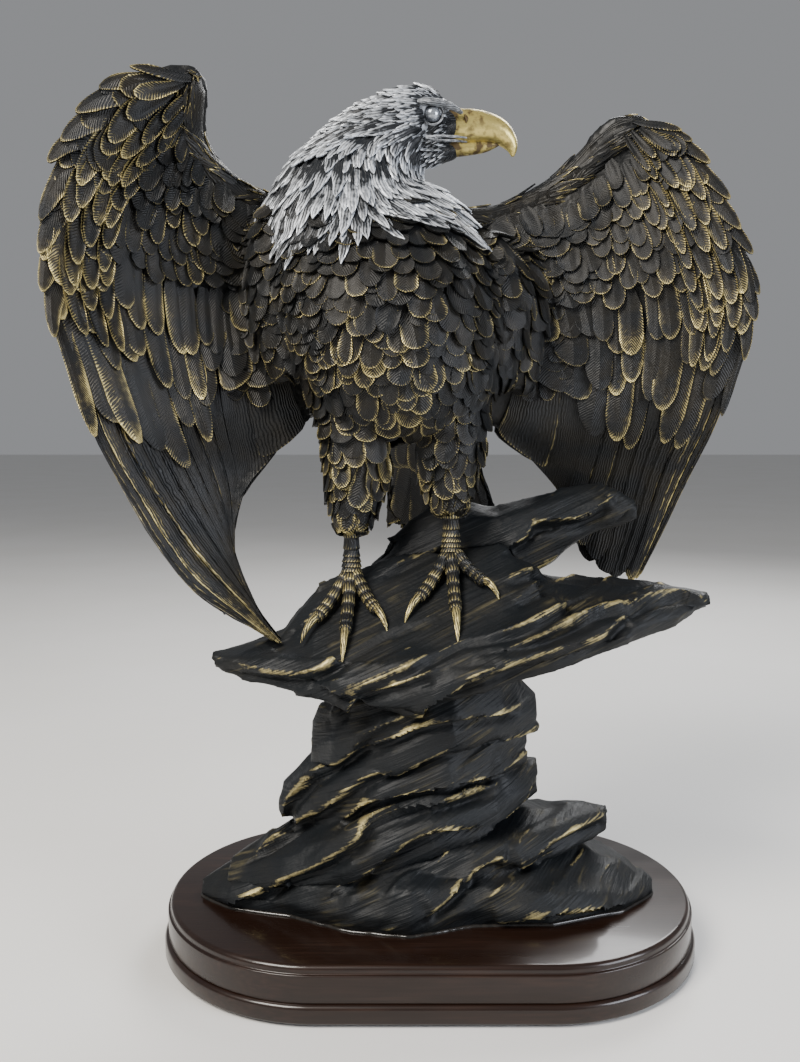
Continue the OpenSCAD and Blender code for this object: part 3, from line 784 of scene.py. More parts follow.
def lacquer_finish():
    """Beech stained espresso under gloss lacquer: deep brown, with faint grain under a shiny coat."""
    finish = settings("finish")
    material, add, surface, coordinates = new_material(
        "lacquered_beech", IOR=1.5, Specular_IOR_Level=0.25, Coat_Weight=0.45, Coat_Roughness=0.1,
        Coat_IOR=1.45,
    )
    # Grain runs along the board: pores 1.1 mm apart and 25 mm long, in bands 8 mm apart
    pores = add("TexNoise", add("Mapping", coordinates, Scale=(40, 900, 900)), 1.0, 5.0)
    bands = add("TexNoise", add("Mapping", coordinates, Scale=(8, 120, 120)), 1.0, 3.0)
    grain = add("MapRange", pores, 0.4, 0.7)
    grain = add("Math", grain, add("MapRange", bands, 0.35, 0.65), operation="MULTIPLY")
    return finish_with(
        material, surface,
        Base_Color=add("Mix", grain, finish.lacquer, finish.lacquer_grain, data_type="RGBA"),
        Roughness=add("MapRange", bands, 0.3, 0.7, 0.26, 0.36),
        Normal=add("Bump", Strength=0.12, Distance=0.0002, Height=pores),
    )


def beak_finish():
    """Pale gold paint over the cast beak, rubbed thin over ridges, with brown wash in the pits."""
    finish = settings("finish")
    material, add, surface, coordinates = new_material("pale_gold_cast", IOR=1.5)
    trace = add("Attribute", attribute_name="trace", attribute_type="GEOMETRY").node.outputs["Vector"]
    bare = add("SeparateXYZ", trace).node.outputs["Z"]
    # Pits 3 mm across and clouds of wash 8 mm across
    pits = add("TexNoise", coordinates, 330.0, 3.0)
    cloud = add("TexNoise", coordinates, 120.0, 3.0)
    worn = add("Math", bare, add("MapRange", pits, 0.35, 0.6, -0.55, 0.12), operation="ADD")
    worn = add("Math", worn, add("MapRange", cloud, 0.35, 0.65, -0.25, 0.15), operation="ADD")
    mask = add("MapRange", worn, 0.15, 0.75)
    return finish_with(
        material, surface,
        Base_Color=add("Mix", mask, finish.beak_wash, finish.beak_gold, data_type="RGBA"),
        Metallic=add("MapRange", mask, 0.0, 1.0, 0.4, 0.8),
        Roughness=add("MapRange", mask, 0.0, 1.0, 0.55, 0.34),
        Normal=add("Bump", Strength=0.5, Distance=0.0004, Height=pits),
    )


def plain_finish(name, colour, second, metallic, rough_low, rough_high, scale):
    """A finish whose colour and gloss vary a little: for fixings, pads, eye beads, glue and the floor."""
    material, add, surface, coordinates = new_material(name, Metallic=metallic)
    grain = add("TexNoise", coordinates, scale, 4.0)
    mottle = add("MapRange", grain, 0.35, 0.65)
    return finish_with(
        material, surface, Base_Color=add("Mix", mottle, colour, second, data_type="RGBA"),
        Roughness=add("MapRange", grain, 0.3, 0.7, rough_low, rough_high),
        Normal=add("Bump", Strength=0.15, Distance=0.0002, Height=grain),
    )


def bronze_finish():
    """The plumage's bronze, made once."""
    finish = settings("finish")
    return bpy.data.materials.get("cold_cast_bronze") or cast_finish(
        "cold_cast_bronze", finish.patina, finish.patina_brown, finish.gilt, 0.0, 0.75, 0.42, 0.34
    )


# Ridges carved on the front of the rock, as (x, y, z) in millimetres from left to right
RIDGES = [
    [(-60, -8, 52), (-52, -15, 66), (-41, -21, 78), (-30, -28, 88), (-24, -32, 96), (-10, -36, 104),
     (-2, -44, 112), (8, -48, 119), (18, -49, 123), (33, -46, 128)],
    [(-69, -15, 41), (-59, -14, 48), (-51, -16, 57), (-44, -23, 63), (-33, -27, 71), (-20, -31, 81),
     (5, -35, 91)],
    [(-34, -26, 59), (-28, -28, 67), (-20, -31, 72), (-2, -31, 76), (14, -27, 78), (24, -23, 77)],
    [(-82, -20, 24), (-67, -25, 30), (-55, -30, 39), (-43, -33, 45), (-30, -36, 55), (-20, -32, 63),
     (6, -31, 70), (26, -24, 74)],
    [(-35, -35, 37), (-20, -37, 49), (-8, -36, 57), (4, -34, 60), (17, -29, 61), (29, -21, 62),
     (41, -9, 70)],
    [(-2, -44, 31), (3, -41, 34), (11, -35, 39), (17, -33, 44), (24, -30, 46), (28, -29, 45)],
    [(32, -26, 42), (38, -25, 45), (49, -20, 50), (59, -13, 52), (71, -5, 54)],
    [(24, -36, 25), (31, -36, 27), (49, -35, 28), (70, -26, 26)],
    [(-28, -29, 89), (-15, -35, 96), (-2, -37, 102), (10, -36, 104), (24, -27, 103), (36, -13, 103)],
    [(-38, -21, 99), (-29, -42, 112), (-19, -46, 117), (-10, -47, 120), (0, -48, 124)],
    [(-81, -23, 122), (-67, -30, 120), (-49, -37, 120), (-39, -39, 123), (-33, -37, 126),
     (-22, -32, 132), (-15, -30, 135), (1, -27, 140)],
    [(-42, -41, 118), (-33, -43, 116), (-22, -45, 119), (-10, -46, 124), (3, -42, 130), (10, -40, 133),
     (22, -40, 135), (35, -39, 138), (45, -34, 142), (57, -22, 145)],
    [(22, -49, 124), (29, -47, 126), (40, -45, 129), (50, -43, 132), (60, -40, 134), (68, -36, 140),
     (73, -34, 142)],
    [(27, -44, 131), (47, -40, 138), (60, -33, 141), (72, -31, 143), (83, -22, 145), (93, -18, 146),
     (105, -17, 143)],
    [(-74, -12, 136), (-58, -8, 142), (-44, -4, 148), (-30, 4, 156), (-14, 13, 165)],
    [(-62, -22, 128), (-50, -18, 134), (-44, -12, 141)],
    [(-20, -4, 152), (-10, -1, 156), (2, 3, 161), (14, 10, 167)],
    [(30, -28, 145), (42, -22, 151), (58, -16, 156), (76, -12, 158)],
    [(27, -18, 152), (37, -15, 154), (52, -6, 160), (64, 0, 166), (81, 6, 177)],
    [(31, -3, 162), (38, 1, 167), (43, 3, 172), (60, 5, 174), (73, 8, 181)],
]


def hand_over(obj, material, slot, *nodes):
    """Gives a finished piece its material, parents it to the frame's root and hides the CAD nodes it stands
    for.
    """
    obj.data.materials.clear()
    obj.data.materials.append(material)
    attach(obj, "root")
    if nodes:
        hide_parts(*nodes)
    return obj


def paint_nodes(names, material):
    """Gives CAD nodes that stay as they are their finish."""
    for name in names:
        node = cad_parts[name]
        node.data.materials.clear()
        node.data.materials.append(material)


# ---------- Pieces ----------


class EAGLE_OT_plinth(Operator):
    """Models both boards of the plinth with their rounded edges"""

    bl_idname = "eagle.plinth"
    bl_label = "Plinth boards"

    def slab(self, name, node, inset):
        """A board with round ends, from a circle drawn out to the board's length and height."""
        low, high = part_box(node)
        radius = (high.y - low.y) / 2
        half = (high.x - low.x) / 2 - radius
        bpy.ops.object.select_all(action="DESELECT")
        bpy.ops.mesh.primitive_circle_add(vertices=192, radius=radius, fill_type="NGON", location=(0, 0, 0))
        obj = newest(name)
        co = points(obj)
        co[:, 0] += np.where(co[:, 0] > 1e-4, 1, np.where(co[:, 0] < -1e-4, -1, 0)) * half / MM
        co[:, 2] += low.z / MM
        set_points(obj, co)
        pick(obj)
        bpy.ops.object.mode_set(mode="EDIT")
        bpy.ops.mesh.select_all(action="SELECT")
        body = high.z - low.z
        if inset:
            plinth = settings("plinth")
            self.raise_face(body - plinth.lip_height)
            bpy.ops.mesh.inset(thickness=plinth.lip_inset, use_even_offset=True)
            self.raise_face(plinth.lip_height)
        else:
            self.raise_face(body)
        bpy.ops.mesh.select_all(action="SELECT")
        bpy.ops.mesh.normals_make_consistent(inside=False)
        bpy.ops.object.mode_set(mode="OBJECT")
        return obj

    @staticmethod
    def raise_face(height):
        """Extrudes the selected top straight up."""
        bpy.ops.mesh.extrude_region_move(TRANSFORM_OT_translate={"value": (0, 0, height)})

    def round_edges(self, obj, levels, width, segments):
        """Bevels the level edges at some heights."""
        pick(obj)
        flags = []
        for edge in obj.data.edges:
            ends = [obj.data.vertices[i].co.z for i in edge.vertices]
            flags.append(any(abs(ends[0] - z) < 1e-5 and abs(ends[1] - z) < 1e-5 for z in levels))
        obj.data.vertices.foreach_set("select", [False] * len(obj.data.vertices))
        obj.data.polygons.foreach_set("select", [False] * len(obj.data.polygons))
        obj.data.edges.foreach_set("select", flags)
        bpy.ops.object.mode_set(mode="EDIT")
        bpy.ops.mesh.select_mode(type="EDGE")
        bpy.ops.mesh.bevel(offset=width, segments=segments, profile=0.5, affect="EDGES", clamp_overlap=True)
        bpy.ops.mesh.select_mode(type="VERT")
        bpy.ops.object.mode_set(mode="OBJECT")

    def execute(self, context):
        plinth = settings("plinth")
        material = lacquer_finish()
        for node, inset in (("plinth_lower_board", False), ("plinth_upper_board", True)):
            obj = self.slab(node + "_lacquered", node, inset)
            top = max(v.co.z for v in obj.data.vertices)
            self.round_edges(obj, [top], plinth.edge_radius * 0.95, 6)
            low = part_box(node)[0].z
            self.round_edges(obj, [low, top - plinth.lip_height] if inset else [low], 0.0008, 3)
            smooth_shade(obj, 40)
            hand_over(obj, material, "lacquered_wood", node)
        return {"FINISHED"}


# Height over which the rock's top is the ledge, and of the band at its foot that fades into the plinth
LEDGE_LEVEL = 125
FOOT_BAND = 4
# Steps of the glue bead round half of the rock
GLUE_STEPS = 110


class EAGLE_OT_rock(Operator):
    """Carves the strata into the four rock castings and lays the glue line round their foot"""

    bl_idname = "eagle.rock"
    bl_label = "Rock"

    @staticmethod
    def strata(place, stratum, table):
        """Displacement as a share of the relief, and share of rubbed metal, at a place on the rock."""
        warp = 8 * noise.noise(place * 0.016) + 2.6 * noise.noise(place * 0.05 + Vector((7, 3, 1)))
        level = place.z * 0.86 - place.x * 0.48 + place.y * 0.15 + warp
        index, share = divmod(level / stratum, 1)
        strength = table[int(index) % len(table)]
        fade = noise.noise(Vector((place.x * 0.02, place.y * 0.02, place.z * 0.05)) + Vector((1, 9, 4)))
        shown = float(ramp(np.float64(fade), -0.3, 0.1))
        rise = share**1.5 if share < 0.88 else max(0.0, (1 - share) / 0.12) * 0.826
        # Creases that run with the strata, as where slate has split
        flat = Vector((place.x * 0.028 + place.z * 0.014, place.y * 0.035, level * 0.11))
        crease = 1 - 2.4 * abs(noise.noise(flat + Vector((3, 1, 8))))
        broad = noise.noise(place * 0.045 + Vector((2, 6, 3)))
        ridge = math.exp(-(((share - 0.87) / 0.07) ** 2)) * strength * shown
        fleck = noise.noise(place * 0.05 + Vector((5, 5, 2)))
        return strength * shown * rise + 0.42 * crease + 0.4 * broad, ridge * (0.55 + 1.4 * fleck)

    @staticmethod
    def ridges(co):
        """Height, closeness and gold of the carved ridges at places on the rock."""
        height, close, gold = np.zeros(len(co)), np.zeros(len(co)), np.zeros(len(co))
        for number, path in enumerate(RIDGES):
            line = spline(path, np.linspace(0, len(path) - 1, len(path) * 8))
            start, run = line[:-1], np.diff(line, axis=0)
            best = np.full(len(co), 1e9)
            rise, share = np.zeros(len(co)), np.zeros(len(co))
            for i in range(len(start)):
                away = co - start[i]
                f = np.clip(away @ run[i] / (run[i] @ run[i]), 0, 1)
                away = away - f[:, None] * run[i]
                far = np.einsum("ij,ij->i", away, away)
                nearer = far < best
                best = np.where(nearer, far, best)
                across = away[:, 2] * run[i][0] - away[:, 0] * run[i][2]
                rise = np.where(nearer, np.sign(across), rise)
                share = np.where(nearer, (i + f) / len(start), share)
            far = np.sqrt(best)
            ends = ramp(share, 0.0, 0.12) * (1 - ramp(share, 0.9, 1.0))
            above = np.exp(-((far / 6.5) ** 1.4))
            below = np.exp(-((far / 0.9) ** 2)) - 0.95 * np.exp(-(((far - 3.0) / 1.9) ** 2))
            height = height + np.where(rise > 0, above, below) * (0.25 + 0.75 * ends)
            close = np.maximum(close, np.exp(-((far / 9) ** 2)))
            spot = np.maximum(0, np.sin(share * 12 + number * 2.1)) ** 3
            wide = np.where(rise > 0, 1.15 + 0.9 * spot, 0.8)
            gold = np.maximum(gold, np.exp(-((far / wide) ** 2)) * (0.68 + 0.24 * spot) * (0.5 + 0.5 * ends))
        return np.clip(height, -1.0, 1.3), close, gold

    def execute(self, context):
        rock = settings("rock")
        rng = random.Random(5)
        table = [rng.uniform(0.3, 1.0) for _ in range(64)]
        material = rock_finish()
        middles = [(low + high) / 2 / MM for low, high in (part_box("right_foot"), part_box("left_foot"))]
        stratum, relief, ledge = rock.stratum / MM, rock.relief / MM, rock.ledge / MM
        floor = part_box("plinth_upper_board")[1].z / MM
        made = {}
        for node in ("rock_base", "rock_column", "perch_ledge", "rear_crag"):
            voxel = rock.grain / MM * 1
            obj = cad_copy(node, node + "_cast", voxel, 2)
            co, out = points(obj), normals(obj)
            height, close, gold = self.ridges(co)
            trace = np.zeros((len(co), 3))
            for i, (p, n) in enumerate(zip(co, out)):
                push, gild = self.strata(Vector(p), stratum, table)
                near = min(math.hypot(p[0] - m.x, p[1] - m.y) for m in middles)
                # Calmer under the feet, and flat where the rock meets the plinth
                calm = 0.2 + 0.8 * float(ramp(np.float64(near), 20, 34)) if p[2] > LEDGE_LEVEL else 1.0
                if p[2] < floor + FOOT_BAND:
                    calm *= max(0.0, (p[2] - floor) / FOOT_BAND)
                carved = push * relief * (1 - 0.65 * close[i]) + height[i] * ledge
                co[i] = p + n * carved * calm
                trace[i, 2] = max(gild * (1 - 0.7 * close[i]), gold[i]) * (0.4 + 0.6 * calm)
            set_points(obj, co)
            mark(obj, trace)
            smooth_shade(obj, 60)
            made[node] = hand_over(obj, material, "bronze_patina", node)
        self.glue(made["rock_base"], floor)
        return {"FINISHED"}

    def glue(self, base, level):
        """A thin glossy bead where the rock meets the plinth."""
        tree = tree_of(base)
        path = []
        for k in range(2 * GLUE_STEPS):
            turn = k * math.pi / GLUE_STEPS
            way = Vector((math.cos(turn), math.sin(turn), 0))
            hit = tree.ray_cast(Vector((0, 0, level + 0.9)) + way * 140, -way)[0]
            if hit:
                path.append((hit.x, hit.y, level + 0.15, settings("rock").glue_line / MM))
        obj = tube("glue_line", path + path[:1], 8, 300, 0.0)
        material = plain_finish("resin_glue", linear("#1C1B1A"), linear("#2A2724"), 0.0, 0.08, 0.18, 400.0)
        smooth_shade(obj)
        hand_over(obj, material, "bronze_patina")


# Fullness between the breast and each wing, as (x, y, z, radius) in millimetres
SHOULDERS = [
    [(22, -4, 228, 8), (24, -7, 245, 11), (25, -8, 263, 12), (22, -6, 275, 9), (18, -2, 283, 5)],
    [(33, 6, 226, 6), (35, 5, 245, 9), (36, 4, 260, 9), (36, 6, 270, 7), (35, 8, 278, 4)],
    [(-52, -6, 232, 8), (-55, -9, 248, 11), (-56, -10, 266, 12), (-55, -8, 284, 11), (-48, -4, 296, 7)],
    [(-62, 2, 230, 6), (-65, 1, 246, 8), (-66, 1, 265, 9), (-65, 2, 282, 8), (-62, 4, 293, 5)],
]
SCALE_ACROSS = [-1, -0.8, -0.4, 0, 0.4, 0.8, 1]
SCALE_ALONG = [0, 0.4, 0.7, 0.88, 0.96, 1]
HACKLE_ACROSS = [-1, -0.5, 0, 0.5, 1]
HACKLE_ALONG = [0, 0.25, 0.5, 0.7, 0.87, 1]
FLIGHT_ACROSS = [-1, -0.86, -0.5, -0.12, 0, 0.12, 0.5, 0.86, 1]
FLIGHT_ALONG = np.append(np.linspace(0, 0.94, 20), [0.975, 1])


class EAGLE_OT_body(Operator):
    """Lays the breast, back, thigh and tail feathers on the body's castings"""

    bl_idname = "eagle.body"
    bl_label = "Body plumage"

    def cover(self, tree, roots, length, width, round_tip, gold, blank, rng, heading):
        """Loose feathers from their roots over a body."""
        plumage = settings("plumage")
        thick = plumage.feather_thickness / MM
        feathers = []
        for root in roots:
            turn = rng.uniform(-0.28, 0.28)

            def flow(p, turn=turn):
                way = heading(p)
                return (way[0] + turn, way[1], way[2])

            lift = plumage.tip_lift / MM * rng.uniform(0.55, 1.6)
            form = blade(blank, round_tip * rng.uniform(0.8, 1.2), 0.55, lift, 1.0, 0.25, 0.35, thick)
            feathers.append(
                lay_feather(
                    blank, tree, root, flow, length * rng.uniform(0.85, 1.25),
                    width * rng.uniform(0.85, 1.15), form, gold(root) * rng.uniform(0.35, 1.1),
                )
            )
        return feathers

    def tail(self, blank):
        """The tail's long feathers on both faces, fanned from the rump."""
        core = cad_copy("tail", "tail_core", 1.6, 10, 1.6)
        tree = tree_of(core)
        low, high = (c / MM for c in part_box("tail"))
        thick = settings("plumage").feather_thickness / MM
        feathers = []
        middle = (low.x + high.x) / 2
        for face in (-1, 1):
            for layer, (level, length, width) in enumerate(
                ((high.z - 26, 56, 12.5), (high.z - 16, 34, 10.0), (high.z - 6, 22, 8.0))
            ):
                for k in range(7):
                    x = middle - 4 + (k - 3) * (3.8 - 0.8 * layer)
                    start = Vector((x, high.y + 60 if face > 0 else low.y - 60, level))
                    hit = tree.ray_cast(start, Vector((0, -face, 0)))[0]
                    if hit is None:
                        continue
                    spread = (k - 3) * 0.15 + 0.1
                    form = blade(blank, 0.16, 0.75, 0.8 + 0.5 * layer, 0.9, 0.5, 0.3, thick)
                    feathers.append(
                        lay_feather(
                            blank, tree, hit, lambda p, s=spread: (s, 0.45, -1.0), length, width, form, 0.6,
                            base=0.35 * (k % 3) + 0.8 * layer,
                        )
                    )
        obj = joined("tail_plumage", [core] + feathers)
        smooth_shade(obj)
        return obj

    def shoulder_roots(self, tree, rng):
        """Roots in front of and behind the joints between the breast and the wings."""
        roots = []
        for left, right in ((-74, -38), (14, 50)):
            for number, z in enumerate(np.arange(296, 226, -5.4)):
                for x in np.arange(left, right, 5.6):
                    for side in (-1, 1):
                        aside, higher = rng.uniform(-1, 1), rng.uniform(-1, 1)
                        start = Vector((x + 2.8 * (number % 2) + aside, 90 * side, z + higher))
                        hit = tree.ray_cast(start, Vector((0, -side, 0)))[0]
                        if hit:
                            roots.append(hit)
        return roots

    def execute(self, context):
        plumage = settings("plumage")
        rng = random.Random(11)
        scale = feather_blank("scale_feather", SCALE_ACROSS, SCALE_ALONG)
        long_blank = feather_blank("tail_feather", FLIGHT_ACROSS, np.linspace(0, 1, 15))
        material = bronze_finish()
        fillers = [tube("shoulder", path, 20, 24, 0.0) for path in SHOULDERS]
        names = ("torso", "head", "right_wing", "left_wing", "right_thigh", "left_thigh")
        skin = cad_copy_of("body_skin", [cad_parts[n] for n in names] + fillers, 2.0, 10)
        skin_tree = tree_of(skin)
        low, high = (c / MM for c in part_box("torso"))
        levels = np.arange(low.z + 6, high.z - 8, plumage.scale_rows / MM)
        axis = [(low.z, -12, 0), (240, -12, -4), (272, -20, -5), (high.z, -26, 5)]
        core = cad_copy("torso", "torso_core", 1.8, 8, 0.6)
        roots = rooted_rows(tree_of(core), axis, levels, plumage.scale_width * 0.74 / MM, rng)
        roots = [root for root in roots if skin_tree.find_nearest(root)[3] < 3.0]
        roots += self.shoulder_roots(skin_tree, rng)
        roots.sort(key=lambda p: p.z)

        def belly_gold(p):
            near = math.hypot((p.x + 16) / 34, (p.z - 238) / 34)
            return (0.5 + 0.6 * max(0.0, 1 - near)) if p.y < 0 else 0.55

        def hang(p):
            side = 0.012 * (p.x + 14) * float(ramp(np.float64(p.z), 225, 250))
            return (min(0.3, max(-0.3, side)), 0.0, -1.0)

        feathers = self.cover(
            skin_tree, roots, plumage.scale_length / MM, plumage.scale_width / MM, 0.36, belly_gold, scale,
            rng, hang,
        )
        torso = joined("torso_plumage", [core] + fillers + feathers)
        smooth_shade(torso)
        hand_over(torso, material, "bronze_patina", "torso")
        for node in ("right_thigh", "left_thigh"):
            core = cad_copy(node, node + "_core", 1.6, 6, 0.5)
            low, high = (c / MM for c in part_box(node))
            middle = (low + high) / 2
            axis = [(low.z, middle.x, -8), (high.z, middle.x, -8)]
            roots = rooted_rows(tree_of(core), axis, np.arange(low.z + 7, high.z - 8, 5.2), 4.8, rng)
            feathers = self.cover(
                tree_of(core), roots, plumage.thigh_length / MM, 6.6, 0.5,
                lambda p: 1.0 if p.y < -10 else 0.45, scale, rng, lambda p: (0, 0, -1),
            )
            thigh = joined(node + "_plumage", [core] + feathers)
            smooth_shade(thigh)
            hand_over(thigh, material, "bronze_patina", node)
        hand_over(self.tail(long_blank), material, "bronze_patina", "tail")
        for spent in (scale["object"], long_blank["object"], skin):
            bpy.data.objects.remove(spent)
        return {"FINISHED"}


class EAGLE_OT_wings(Operator):
    """Lays coverts and flight feathers on both faces of the wings and models the arms"""

    bl_idname = "eagle.wings"
    bl_label = "Wings"

    def arm(self, node, front, back, blank, rng):
        """The arm along the wing's upper edge, with its hair-like feathers."""
        path = []
        for x, z, radius in ARMS[node]:
            here = np.array([x]), np.array([z])
            y = (front.depth(*here)[0] + back.depth(*here)[0]) / 2
            path.append((x, y, z, radius))
        arm = tube(node + "_arm", path, 20, 60, 0.5, flat=1.05)
        tree = tree_of(arm)
        line = np.array(path)[:, :3]
        parts = [arm]
        for _ in range(110):
            share = rng.uniform(0.02, 0.86) * (len(line) - 1)
            centre, ahead = spline(line, [share, share + 0.2])
            run = Vector(ahead - centre).normalized()
            turn = rng.uniform(0, 2 * math.pi)
            root = Vector(centre) + Vector((0, math.cos(turn), math.sin(turn))) * 6
            droop = Vector((0, 0, -0.25))
            form = blade(blank, -0.4, 0.5, rng.uniform(0.3, 1.0), 0.5, 0.2, 0.0, 0.6)
            parts.append(
                lay_feather(
                    blank, tree, root, lambda p, way=run + droop: way, rng.uniform(10, 17),
                    rng.uniform(2.4, 3.8), form, rng.uniform(0.3, 1.0), True,
                )
            )
        return parts

    def execute(self, context):
        material = bronze_finish()
        blanks = {
            "scale": feather_blank("covert_feather", SCALE_ACROSS, SCALE_ALONG),
            "hair": feather_blank("arm_feather", HACKLE_ACROSS, HACKLE_ALONG),
            "flight": feather_blank("flight_feather", FLIGHT_ACROSS, FLIGHT_ALONG),
        }
        for seed, node in enumerate(("right_wing", "left_wing")):
            rng = random.Random(31 + seed)
            front, feathers = wing_plumage(node, -1, blanks, rng)
            back, more = wing_plumage(node, 1, blanks, rng)
            core = cad_copy(node, node + "_core", 1.8, 6, 0.9)
            arm = self.arm(node, front, back, blanks["hair"], rng)
            obj = joined(node + "_plumage", [core] + arm + feathers + more)
            edit(obj, (bpy.ops.mesh.normals_make_consistent, {"inside": False}))
            smooth_shade(obj)
            hand_over(obj, material, "bronze_patina", node)
        for blank in blanks.values():
            bpy.data.objects.remove(blank["object"])
        return {"FINISHED"}


# The head's middle plane, its y in millimetres, and the bare circle round each eye
HEAD_MIDDLE = -2.0
EYE_CLEARANCE = 5.6


def on_middle(path, start=0.0):
    """A path on the head's middle plane, from rows of x, z and radius."""
    return [(start + x, HEAD_MIDDLE, z, radius) for x, z, radius in path]


class EAGLE_OT_head(Operator):
    """Lays the silver hackles on head and neck, with brows, eye rings and mouth corners"""

    bl_idname = "eagle.head"
    bl_label = "Head and hackles"

    @staticmethod
    def flow(p):
        """The plumage's direction: back over the crown, down the neck, forward at the throat."""
        crown = float(ramp(np.float64(p.z), 306, 326))
        face = float(ramp(np.float64(p.x), -22, 0))
        back = -1.35 * crown - 0.5 * face * (1 - crown) * float(ramp(np.float64(p.z), 296, 308))
        throat = 1.0 * float(ramp(np.float64(p.x), -30, -6)) * float(ramp(np.float64(-p.z), -303, -287))
        return (back + throat + 0.012 * (p.x + 28) * (1 - crown), 0.0, -1.0 + 0.75 * crown)

    def face(self):
        """Brows, eye rings, cheeks behind the beak and the lips' corners."""
        lore = [(-12, 322, 9.5), (-4, 322.5, 9.2), (3, 323, 8.4), (8, 323.6, 7.4), (10.5, 324, 6.2)]
        chin = [(-14, 311, 6.5), (-6, 313, 5.6), (1, 314.2, 4.8), (7, 315, 3.9), (9, 315.4, 3.0)]
        parts = [
            tube("lore", on_middle(lore), 28, 24, 0.5, flat=0.86),
            tube("chin", on_middle(chin), 24, 20, 0.5, flat=0.8),
        ]
        low, high = (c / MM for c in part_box("eyes"))
        for side, y in ((-1, low.y + 3), (1, high.y - 3)):
            x, z = (low.x + high.x) / 2, (low.z + high.z) / 2
            turn = np.linspace(0, 2 * math.pi, 17)
            ring = [
                (x + 3.9 * math.cos(a), y + side * (0.9 - 0.4 * math.cos(a)), z + 3.9 * math.sin(a), 0.45)
                for a in turn
            ]
            parts.append(tube("eye_ring", ring, 8, 48, 0.7))
            brow = [
                (x - 15, y - side * 0.8, z + 1.6, 0.6), (x - 9, y + side * 0.8, z + 3.2, 1.3),
                (x - 4, y + side * 2.1, z + 3.8, 1.8), (x + 1, y + side * 2.8, z + 3.5, 2.0),
                (x + 6.5, y + side * 1.1, z + 2.8, 1.8), (x + 11, y - side * 1.8, z + 1.0, 0.9),
            ]
            parts.append(tube("brow", brow, 14, 36, 0.8, flat=0.62))
            for rise, shine in ((0.0, 0.95), (-1.5, 0.8)):
                lip = [
                    (x - 2.5, y + side * 1.2, z - 8.2 + rise * 0.3, 0.3),
                    (x + 3, y + side * 0.9, z - 8.0 + rise, 0.55),
                    (x + 8, y - side * 0.6, z - 7.7 + rise, 0.5),
                    (x + 13, y - side * 3.0, z - 7.5 + rise, 0.3),
                ]
                parts.append(tube("lip", lip, 8, 24, shine))
        return parts

    @staticmethod
    def cheeks(tree, blank, rng):
        """Fine short feathers between beak, eye and neck, all swept back."""
        low, high = (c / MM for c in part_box("eyes"))
        eye = (low + high) / 2
        feathers = []
        for number, z in enumerate(np.arange(309, 335, 1.6)):
            for x in np.arange(-13, 7, 2.3):
                for side in (-1, 1):
                    x_here = x + 1.1 * (number % 2) + rng.uniform(-0.4, 0.4)
                    if math.hypot(x_here - eye.x, z - eye.z) < EYE_CLEARANCE:
                        continue
                    root = tree.ray_cast(Vector((x_here, 60 * side, z)), Vector((0, -side, 0)))[0]
                    if root is None or (root.y - eye.y) * side < 1.0:
                        continue
                    form = blade(blank, -0.3, 0.6, rng.uniform(0.3, 0.8), 0.5, 0.2, 0.0, 0.5)
                    feathers.append(
                        lay_feather(
                            blank, tree, root, lambda p: (-1.0, 0.0, -0.3), rng.uniform(4.0, 6.5),
                            rng.uniform(1.5, 2.3), form, rng.uniform(0.75, 1.2), True,
                        )
                    )
        return feathers

    def execute(self, context):
        plumage, finish = settings("plumage"), settings("finish")
        rng = random.Random(23)
        blank = feather_blank("hackle", HACKLE_ACROSS, HACKLE_ALONG)
        core = cad_copy("head", "head_core", 1.5, 6, 0.4)
        skin = cad_copy_of("neck_skin", [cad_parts[n] for n in ("head", "torso")], 1.8, 8)
        tree = tree_of(skin)
        thick = plumage.feather_thickness / MM
        axis = [(267, -28, -2), (298, -32, 0), (317, -23, 0), (325, -15, -1), (338, -6, -2)]
        mark(core, np.tile([0.0, 0.0, 0.8], (len(core.data.vertices), 1)))
        face = self.face()
        feathers = self.cheeks(tree_of(core, *face[:2]), blank, rng)
        rows = (
            (np.arange(289, 307, 4.2), 4.3, plumage.hackle_length / MM, plumage.hackle_width / MM, 2.2, 1.0),
            (np.arange(307, 322, 3.4), 3.5, 12.5, 5.2, 1.5, 0.3),
            (np.arange(320, 337, 2.3), 2.5, 8.0, 3.2, 0.9, 0.0),
        )
        for levels, spacing, length, width, lift, base in rows:
            for root in rooted_rows(tree, axis, levels, spacing, rng):
                if (root.x > -3 and root.z > 306 and abs(root.y + 1) > 3) or root.x > 6:
                    continue
                form = blade(blank, -0.22, 0.5, lift * rng.uniform(0.5, 1.3), 0.9, 0.35, 0.0, thick)
                # The lowest hackles fade into the dark breast
                shine = rng.uniform(0.7, 1.15) * (0.68 + 0.32 * float(ramp(np.float64(root.z), 287, 300)))
                feathers.append(
                    lay_feather(
                        blank, tree, root, self.flow, length * rng.uniform(0.75, 1.35),
                        width * rng.uniform(0.8, 1.2), form, shine, True, base,
                    )
                )
        obj = joined("head_plumage", [core] + feathers + face)
        smooth_shade(obj)
        material = cast_finish(
            "cold_cast_silver", finish.silver_dark, finish.silver_dark, finish.silver, 0.46, 0.5, 0.45, 0.4
        )
        hand_over(obj, material, "silver_patina", "head")
        for spent in (blank["object"], skin):
            bpy.data.objects.remove(spent)
        bead = plain_finish("silvered_bead", linear("#A2A8B0"), linear("#5B6068"), 0.7, 0.16, 0.26, 300.0)
        paint_nodes(["eyes"], bead)
        return {"FINISHED"}


